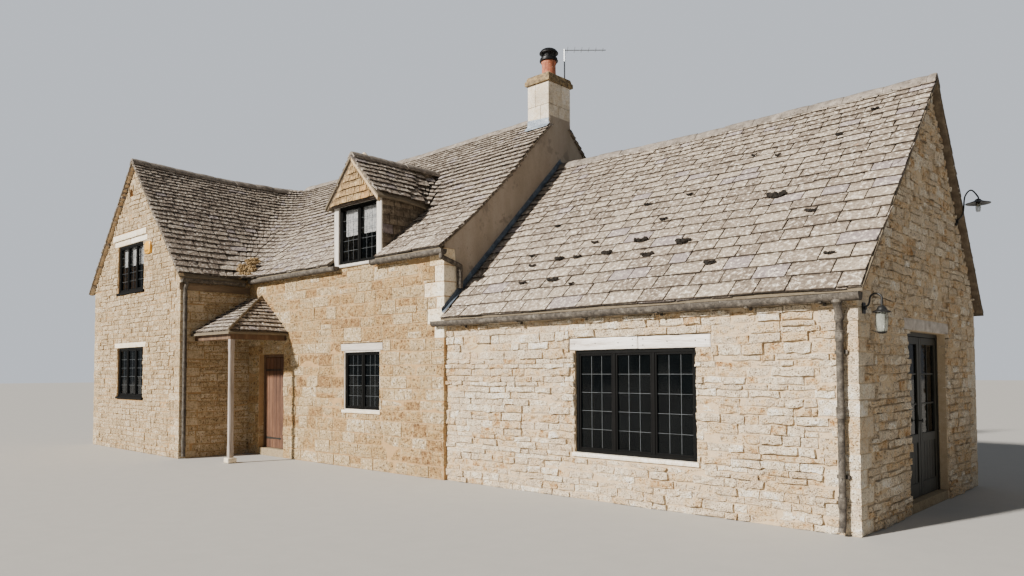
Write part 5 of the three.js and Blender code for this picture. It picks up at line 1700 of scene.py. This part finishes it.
u0, u1 = dormer_casement[:2]
for i, left in enumerate((u0 + 0.085, (u0 + u1) / 2 + 0.05)):
    lace_blind("dormer_lace_%d" % i, left, left + (u1 - u0) / 2 - 0.14, 4.82, 0.50, 0.118, i + 1)
u0, u1, z0, z1 = upper_light
for i in range(3):
    left = u0 + 0.06 + i * (u1 - u0 - 0.1) / 3
    lace_blind("wing_lace_%d" % i, left, left + (u1 - u0 - 0.1) / 3 - 0.03, z1 - 0.06, 0.42, -1.41,
        i + 4)


# Front door
# A boarded oak door in a pegged frame under the porch: six boards on three ledges, two long
# strap hinges, a ring handle and a latch plate of forged iron.

door_oak = mottled_finish("aged_brown_oak", {0.0: "2e1c10", 0.35: "4b3020", 0.7: "684731",
    1.0: "866043"}, 0.12, 0.008, 0.002, 0.6, (1, 1, 0.08))
frame_oak = mottled_finish("oak_door_frame", {0.0: "3a291a", 0.5: "5b432e", 1.0: "7c6148"},
    0.12, 0.01, 0.002, 0.7, (1, 1, 0.1))
boarded("front_frame_timbers", [
    ((-5.93, 0.11, 0.15), (-5.87, 0.19, 2.13), 0.004),
    ((-4.99, 0.11, 0.15), (-4.93, 0.19, 2.13), 0.004),
    ((-5.87, 0.11, 2.07), (-4.99, 0.19, 2.13), 0.004)],
    frame_oak, stands_for=["front_door_frame"])
door_left, door_right = -5.863, -4.997
edges = [door_left + (door_right - door_left) * i / 6 for i in range(7)]
boarded("front_door_boards", [
    ((a + 0.0008, 0.1255, 0.157), (b - 0.0008, 0.152, 2.063), 0.0045)
    for a, b in zip(edges, edges[1:])] + [
    ((door_left + 0.04, 0.1505, z - 0.06), (door_right - 0.04, 0.1695, z + 0.06), 0.005)
    for z in (0.36, 1.08, 1.80)], door_oak, "front_leaf", ["front_door"])
made = bmesh.new()
for z in (0.36, 1.80):
    rings = []
    for step in range(11):
        t = step / 10
        x = door_left + 0.004 + 0.62 * t
        half = 0.024 - 0.012 * t + (0.014 * math.exp(-((t - 0.94) / 0.05) ** 2))
        y = 0.1205
        rings.append([at(x, y, z - half), at(x, y + 0.0055, z - half), at(x, y + 0.0055, z + half),
            at(x, y, z + half)])
    loft(made, rings)
for z in (0.36, 1.113, 1.863):
    tube(made, [(door_left, 0.170, z - 0.055), (door_left, 0.170, z + 0.055)], 0.0065, 12)
board(made, (-5.075, 0.119, 1.02), (-5.035, 0.126, 1.2), 0.003)
ring_points = [(-5.055 + 0.036 * math.sin(2 * math.pi * i / 24), 0.113,
    1.085 + 0.036 * math.cos(2 * math.pi * i / 24)) for i in range(24)]
tube(made, ring_points, 0.005, 8)
tube(made, [(-5.055, 0.108, 1.121), (-5.055, 0.126, 1.121)], 0.009, 10)
made_piece("front_door_ironwork", made, black_iron, "front_leaf")
strap_nails = [(at(door_left + 0.06 + 0.12 * i, 0.1195, z), (0.012, 0.005, 0.012), (0, 0.4, 0))
    for z in (0.36, 1.80) for i in range(5)]
lay("front_door_nails", strap_nails, black_iron, "front_leaf", cuts=(4, 2, 4),
    worn=0.0015, rough=0.0, seed=9)


# Gable doors
# A pair of framed doors in dark paint, glazed above a middle rail with two by three panes and
# boarded below, on butt hinges, in a rebated frame. The lintel is one weathered oak beam.

door_paint = mottled_finish("dark_olive_black_paint", {0.0: "15150f", 0.6: "222219",
    1.0: "34332a"}, 0.1, 0.01, 0.0006, 0.5, (1, 1, 0.2))
boarded("gable_frame_timbers", [
    ((6.30, 1.75, 0.12), (6.38, 1.805, 2.24), 0.004),
    ((6.30, 3.345, 0.12), (6.38, 3.40, 2.24), 0.004),
    ((6.30, 1.805, 2.185), (6.38, 3.345, 2.24), 0.004)],
    door_paint, stands_for=["gable_door_frame"])
u0, u1, z0, z1 = door_lintel
dressed("gable_door_lintel", [((6.32, u0, z0 + 0.003), (6.486, u1, z1 - 0.004))], bleached_oak,
    cuts=(4, 20, 4), worn=0.006, rough=0.0035, grain=0.16)
for which, y0, y1, hinge in (("front", 1.812, 2.571, 1.812), ("rear", 2.579, 3.338, 3.338)):
    body = "gable_leaf_" + which
    x0, x1, z0, z1 = 6.325, 6.370, 0.127, 2.178
    # The clear width between the stiles, and the top of the middle rail.
    a, b, middle = y0 + 0.09, y1 - 0.09, z0 + 0.8
    wide, across, tall = (y1 - y0 - 0.18) / 5, (y1 - y0 - 0.18) / 2, (z1 - 0.09 - middle) / 3
    boards = [
        ((x0, y0, z0), (x1, a, z1), 0.004), ((x0, b, z0), (x1, y1, z1), 0.004),
        ((x0, a, z1 - 0.09), (x1, b, z1), 0.004), ((x0, a, middle - 0.11), (x1, b, middle), 0.004),
        ((x0, a, z0), (x1, b, z0 + 0.18), 0.004)]
    for i in range(5):
        left = a + i * wide
        boards.append(((x0 + 0.012, left + 0.001, z0 + 0.175),
                       (x1 - 0.012, left + wide - 0.001, middle - 0.105), 0.004))
    boards.append(((x0 + 0.010, a + across - 0.01, middle),
                   (x1 - 0.010, a + across + 0.01, z1 - 0.09), 0.003))
    for z in (middle + tall, middle + 2 * tall):
        boards.append(((x0 + 0.010, a, z - 0.01), (x1 - 0.010, b, z + 0.01), 0.003))
    boarded(body + "_joinery", boards, door_paint, body,
            ["gable_door_" + which])
    panes = [(at(6.3475, a + (column + 0.5) * across, middle + (row + 0.5) * tall),
              (0.004, across - 0.004, tall - 0.004), (0, 0, 0))
             for column in range(2) for row in range(3)]
    lay(body + "_glass", panes, glass_darkened_as_room_shade, body, cuts=(2, 3, 3),
        worn=0.0, rough=0.0, seed=71)
    made = bmesh.new()
    for z in (z0 + 0.2, (z0 + z1) / 2, z1 - 0.2):
        tube(made, [(x0, hinge, z - 0.055), (x0, hinge, z + 0.055)], 0.0065, 12)
    if which == "front":
        knob_y = y1 - 0.045
        board(made, (x1, knob_y - 0.02, 1.0), (x1 + 0.004, knob_y + 0.02, 1.17), 0.0015)
        tube(made, [(x1, knob_y, 1.1), (x1 + 0.04, knob_y, 1.1)], 0.008, 10)
        tube(made, [(x1 + 0.038, knob_y, 1.1), (x1 + 0.05, knob_y, 1.1)], 0.024, 16)
    made_piece(body + "_ironwork", made, black_iron, body)


# Porch
# A silvered oak post and two browner plates under the hipped roof, and a foot of stone that
# keeps the post off the ground. The post is chamfered between its ends.

silver_oak = mottled_finish("silvered_oak", {0.0: "5f564d", 0.35: "8a7f76", 0.7: "a89d94",
    1.0: "c4bbb2"}, 0.08, 0.007, 0.003, 0.88, (1, 1, 0.08), ("6f8060", 0.2), 0.03)
post_x0, post_x1, post_y0, post_y1 = -4.925, -4.835, -1.215, -1.125
boarded("porch_post_timber", [((post_x0, post_y0, 0.11), (post_x1, post_y1, 2.4), 0.013)] + [
    ((post_x0 - 0.002, post_y0 - 0.002, low), (post_x1 + 0.002, post_y1 + 0.002, high), 0.004)
    for low, high in ((0.10, 0.34), (2.16, 2.4))],
    silver_oak, stands_for=["porch_post"])
dressed("porch_post_foot", [((post_x0 - 0.05, post_y0 - 0.05, 0.0),
    (post_x1 + 0.05, post_y1 + 0.05, 0.105))], ashlar, cuts=(5, 5, 4), worn=0.008, rough=0.003)
boarded("porch_plates", [
    ((-6.38, post_y0, 2.4), (post_x1, post_y1, 2.535), 0.006),
    ((post_x0, post_y1, 2.4), (post_x1, 0.0, 2.535), 0.006)],
    frame_oak, stands_for=["porch_plate"])


# Rainwater goods
# Half-round cast-iron gutters on brackets, with collars at their joints and stop ends, and
# round downpipes with sockets and ears. The old grey paint is crusted with lichen. The wing's
# gutter is fixed to a weathered oak board.

lichened_iron = mottled_finish("lichened_cast_iron", {0.0: "211d18", 0.3: "38322b",
    0.6: "534c43", 1.0: "837b6f"}, 0.07, 0.008, 0.002, 0.85, (1, 1, 1), ("191613", 0.45), 0.03)
refinish(lichened_iron, "main_gutter_left", "main_gutter_right", "wing_gutter")
made = bmesh.new()


def half_round(radius, rim, lip, steps, inside):
    """A gutter's section as (aside, height) points: its outer side up to its lips, and then an
    inner one at a share of its size, or none."""
    centre = rim - 0.025
    angles = [math.pi + math.pi * i / steps for i in range(steps + 1)]
    outer = [(math.cos(angle) * radius, centre + math.sin(angle) * radius) for angle in angles]
    outer = [(-radius, rim + lip)] + outer + [(radius, rim + lip)]
    return outer + [(a * inside, centre + (z - centre) * inside) for a, z in outer[::-1] if inside]


def collar(made, axis, place, across, rim, wide, end=False):
    """A collar round a half-round gutter, or a stop end where end is set."""
    section = half_round(0.0655, rim, 0.003, 14, 0 if end else 0.91)
    rings = []
    for along in (place - wide / 2, place + wide / 2):
        rings.append([at(along, across + a, z) if axis == "x" else at(across + a, along, z)
                      for a, z in section])
    loft(made, rings)


# Each gutter: the axis that it runs along, its middle and its rim, and its two ends.
gutters = [("x", -0.115, 3.735, -6.13, -2.9), ("x", -0.115, 3.735, -1.8, 0.125),
           ("y", -6.25, 3.683, -1.56, -0.19), ("x", -0.066, 2.572, -0.2, 6.555)]
for axis, across, rim, low, high in gutters:
    for place in (low + 0.006, high - 0.006):
        collar(made, axis, place, across, rim, 0.012, end=True)
    place = low + 1.1
    while place < high - 0.5:
        collar(made, axis, place, across, rim, 0.075)
        place += 1.83
for x, y, sockets in ((6.31, -0.005, [2.12, 1.30, 0.35]),
                      (-6.315, -1.45, [3.30, 2.92, 1.9, 0.92, 0.3])):
    for z in sockets:
        turned(made, x, y, [(0.0395, z - 0.06), (0.046, z - 0.06), (0.046, z + 0.045),
            (0.050, z + 0.05), (0.050, z + 0.062), (0.0395, z + 0.062)], 20)
for z in (3.44, 3.22):
    turned(made, 0.065, 0.3, [(0.0395, z - 0.03), (0.047, z - 0.03), (0.047, z + 0.03),
        (0.0395, z + 0.03)], 20)
made_piece("gutter_collars", made, lichened_iron)

# The east gutter is drawn again with a round outlet, as the photograph shows, where the solid
# has a plain hopper.
made = bmesh.new()
rings = []
for x in (-0.2 + 6.755 * i / 40 for i in range(41)):
    sunk = 2.572 - 0.004 * math.sin(math.pi * (x + 0.2) / 1.69) ** 2
    section = half_round(0.0615, sunk, 0.0, 16, 0.93)
    rings.append([at(x, -0.066 + a, z) for a, z in section])
loft(made, rings)
rings = []
for z, radius, y in ((2.52, 0.046, -0.066), (2.49, 0.058, -0.066), (2.475, 0.058, -0.062),
        (2.465, 0.048, -0.058), (2.42, 0.044, -0.035), (2.36, 0.042, -0.012),
        (2.33, 0.052, -0.006), (2.30, 0.052, -0.005), (2.28, 0.040, -0.005), (1.6, 0.0375, -0.005),
        (0.9, 0.0375, -0.005), (0.2, 0.0375, -0.005), (0.12, 0.0375, -0.012),
        (0.05, 0.0375, -0.045)):
    rings.append([round_at(6.31, y, radius, math.pi * i / 10, z) for i in range(20)])
loft(made, rings)
for x in (0.5, 1.7, 2.9, 4.1, 5.3, 6.15):
    board(made, (x - 0.015, -0.115, 2.478), (x + 0.015, 0.03, 2.49), 0.002)
    board(made, (x - 0.015, 0.0, 2.45), (x + 0.015, 0.03, 2.479), 0.002)
for z in (1.95, 0.62):
    board(made, (6.24, 0.028, z - 0.02), (6.38, 0.06, z + 0.02), 0.003)
made_piece("east_gutter_iron", made, lichened_iron, stands_for=["east_gutter"])
board_oak = mottled_finish("weathered_eaves_board", {0.0: "4d3f30", 0.5: "6b5a46",
    1.0: "8a765d"}, 0.1, 0.01, 0.002, 0.85, (1, 0.1, 1))
boarded("wing_eaves_board", [((-6.366, -1.56, 3.45), (-6.338, -0.01, 3.60), 0.004)], board_oak)


# Alarm box
# A moulded amber housing with a domed face and a row of sounder slots, screwed to the wing.

amber = mottled_finish("faded_amber_plastic", {0.0: "c98a1c", 0.5: "dda12c", 1.0: "e8b44a"},
    0.1, 0.004, 0.0002, 0.42, (1, 1, 0.5))
made = bmesh.new()
alarm_left, alarm_right, alarm_low, alarm_high = -8.105, -7.80, 4.36, 4.64
rings = []
for y, inset in ((-1.525, 0.0), (-1.565, 0.0), (-1.582, 0.006), (-1.592, 0.02), (-1.598, 0.05),
        (-1.600, 0.09)):
    ring = []
    half_x, half_z = (alarm_right - alarm_left) / 2 - inset, (alarm_high - alarm_low) / 2 - inset
    for i in range(40):
        angle = 2 * math.pi * i / 40
        c, s = math.cos(angle), math.sin(angle)
        ring.append(at((alarm_left + alarm_right) / 2 + half_x * math.copysign(abs(c) ** 0.5, c),
            y, (alarm_low + alarm_high) / 2 + half_z * math.copysign(abs(s) ** 0.5, s)))
    rings.append(ring)
loft(made, rings)
made_piece("alarm_housing", made, amber, stands_for=["alarm_box"])
slots = [(at(-7.9525 + 0.026 * i, -1.599, 4.425), (0.010, 0.006, 0.045), (0, 0, 0))
    for i in range(-3, 4)]
lay("alarm_slots", slots, black_iron, cuts=(3, 2, 3), worn=0.001, rough=0.0,
    seed=10)


# Lanterns
# Two swan-neck lanterns on the east gable, in black-painted steel: a long-jarred one by the
# corner and a broad-shaded one over the doors.

jar_glass = mottled_finish("seeded_jar_glass", {0.0: "8f938a", 1.0: "b9bcb0"}, 0.05, 0.01,
    0.001, 0.12, Alpha=0.35, IOR=1.5)
lantern_steel = mottled_finish("black_painted_steel", {0.0: "121212", 0.7: "1d1d1c",
    1.0: "2e2c28"}, 0.05, 0.004, 0.0004, 0.4)


def curve_points(points, steps=6):
    """Plan points on a smooth curve through the given ones."""
    points = [Vector(p) for p in points]
    path = [points[0]]
    padded = [points[0] * 2 - points[1]] + points + [points[-1] * 2 - points[-2]]
    for i in range(1, len(padded) - 2):
        p0, p1, p2, p3 = padded[i - 1 : i + 3]
        for step in range(1, steps + 1):
            t = step / steps
            path.append(0.5 * (2 * p1 + (p2 - p0) * t + (2 * p0 - 5 * p1 + 4 * p2 - p3) * t * t
                + (3 * p1 - p0 - 3 * p2 + p3) * t ** 3))
    return path


# Each lantern: its place along the gable, its plate's height, how far its neck rises and reaches
# out, its shade's height and radius, and how long its jar is.
lanterns = {"front": (0.21, 2.42, 0.15, 0.2, 2.4, 0.09, 0.23),
            "rear": (4.1, 3.895, 0.43, 0.3, 4.15, 0.16, 0.12)}
for which, (y, plate_z, rise, reach_out, shade_z, shade_r, jar) in lanterns.items():
    x = EAST_END
    made = bmesh.new()
    arch = curve_points([(x + 0.01, y, plate_z), (x + reach_out * 0.35, y, plate_z + rise * 0.25),
        (x + reach_out * 0.45, y, plate_z + rise * 0.8), (x + reach_out * 0.72, y, plate_z + rise),
        (x + reach_out, y, plate_z + rise * 0.75), (x + reach_out, y, shade_z + 0.02)])
    tube(made, arch, 0.0105, 12)
    board(made, (x + 0.012, y - 0.045, plate_z - 0.06), (x + 0.026, y + 0.045, plate_z + 0.06),
        0.004)
    tube(made, [(x + 0.02, y, plate_z), (x + 0.045, y, plate_z)], 0.022, 16)
    for dz in (-0.042, 0.042):
        tube(made, [(x + 0.024, y, plate_z + dz), (x + 0.030, y, plate_z + dz)], 0.006, 10)
    head_x = x + reach_out
    turned(made, head_x, y, [(0.0, shade_z - 0.012), (shade_r * 0.55, shade_z - 0.022),
        (shade_r * 0.97, shade_z - 0.036), (shade_r, shade_z - 0.034), (shade_r, shade_z - 0.027),
        (shade_r * 0.6, shade_z - 0.008), (0.046, shade_z + 0.012), (0.034, shade_z + 0.03),
        (0.018, shade_z + 0.038), (0.0, shade_z + 0.04)])
    turned(made, head_x, y, [(0.0, shade_z - 0.07), (0.026, shade_z - 0.07),
        (0.028, shade_z - 0.015), (0.0, shade_z - 0.015)], 20)
    if which == "front":
        for i in range(4):
            angle = math.pi / 4 + math.pi / 2 * i
            c, s = math.cos(angle), math.sin(angle)
            tube(made, [(head_x + 0.066 * c, y + 0.066 * s, shade_z - 0.03),
                (head_x + 0.066 * c, y + 0.066 * s, shade_z - 0.17),
                (head_x + 0.045 * c, y + 0.045 * s, shade_z - 0.248)], 0.003, 6)
        turned(made, head_x, y, [(0.0, shade_z - 0.262), (0.03, shade_z - 0.258),
            (0.05, shade_z - 0.246), (0.05, shade_z - 0.238), (0.0, shade_z - 0.238)], 24)
    made_piece("lantern_" + which + "_metal", made, lantern_steel,
        stands_for=["gable_lantern_" + which])
    made = bmesh.new()
    wide = 0.062 if which == "front" else 0.036
    low = shade_z - 0.03 - jar + (0.022 if which == "front" else 0)
    turned(made, head_x, y, [(0.0, low), (wide * 0.7, low), (wide * 0.9, low + 0.02),
        (wide, shade_z - 0.08), (wide * 0.85, shade_z - 0.035), (wide * 0.8, shade_z - 0.035),
        (wide * 0.94, shade_z - 0.08), (wide * 0.84, low + 0.022), (wide * 0.65, low + 0.005),
        (0.0, low + 0.005)])
    made_piece("lantern_" + which + "_jar", made, jar_glass)


# Camera, floor and light
# The camera stands in the garden, off the east wing's front, at eye height.
# A pale floor, the low sun from the left of the camera, and a pale sky.
camera = linked("camera", bpy.data.cameras.new("camera"))
bpy.context.scene.camera = camera
heading, upward, roll = math.radians(-43.16), math.radians(2.21), math.radians(-0.19)
camera.location = at(9.396, -8.404, 1.754)
ahead = Vector((math.sin(heading) * math.cos(upward), math.cos(heading) * math.cos(upward),
    math.sin(upward)))
level_aim = ahead.to_track_quat("-Z", "Y")
camera.rotation_euler = (level_aim.to_matrix() @ Matrix.Rotation(roll, 3, "Z")).to_euler()
camera.data.lens = 27.165
camera.data.sensor_width = 36
camera.data.shift_y = 0.0523
camera.data.clip_end = 500

floor_mesh = bpy.data.meshes.new("studio_floor")
reach = 140
floor_mesh.from_pydata([(-reach, -reach, -0.002), (reach, -reach, -0.002), (reach, reach, -0.002),
    (-reach, reach, -0.002)], [], [(0, 1, 2, 3)])
studio_floor = linked("studio_floor", floor_mesh)
floor_mesh.materials.append(mottled_finish("pale_studio_floor", {0.0: "aaa7a1", 1.0: "b0ada7"},
    0.3, 0.01, 0.0005, 0.9))

sun = linked("key", bpy.data.lights.new("key", "SUN"))
sun.data.energy = 9.8
sun.data.angle = math.radians(3)
sun.data.color = (1.0, 0.955, 0.89)
towards_sun = Vector((-0.254, -0.847, 0.466))
sun.rotation_euler = towards_sun.to_track_quat("Z", "Y").to_euler()
world = bpy.data.worlds.new("studio")
bpy.context.scene.world = world
world.use_nodes = True
world.node_tree.nodes.clear()
# The backdrop is drawn brighter than the light that it gives.
add = functools.partial(add_node, world.node_tree)
seen = add("ShaderNodeLightPath").outputs["Is Camera Ray"]
strength = add("ShaderNodeMapRange", {"Value": seen, "To Min": 0.28,
    "To Max": 0.9})
background = add("ShaderNodeBackground", {"Color": linear("dfe5ee"),
    "Strength": strength})
add("ShaderNodeOutputWorld", {"Surface": background})
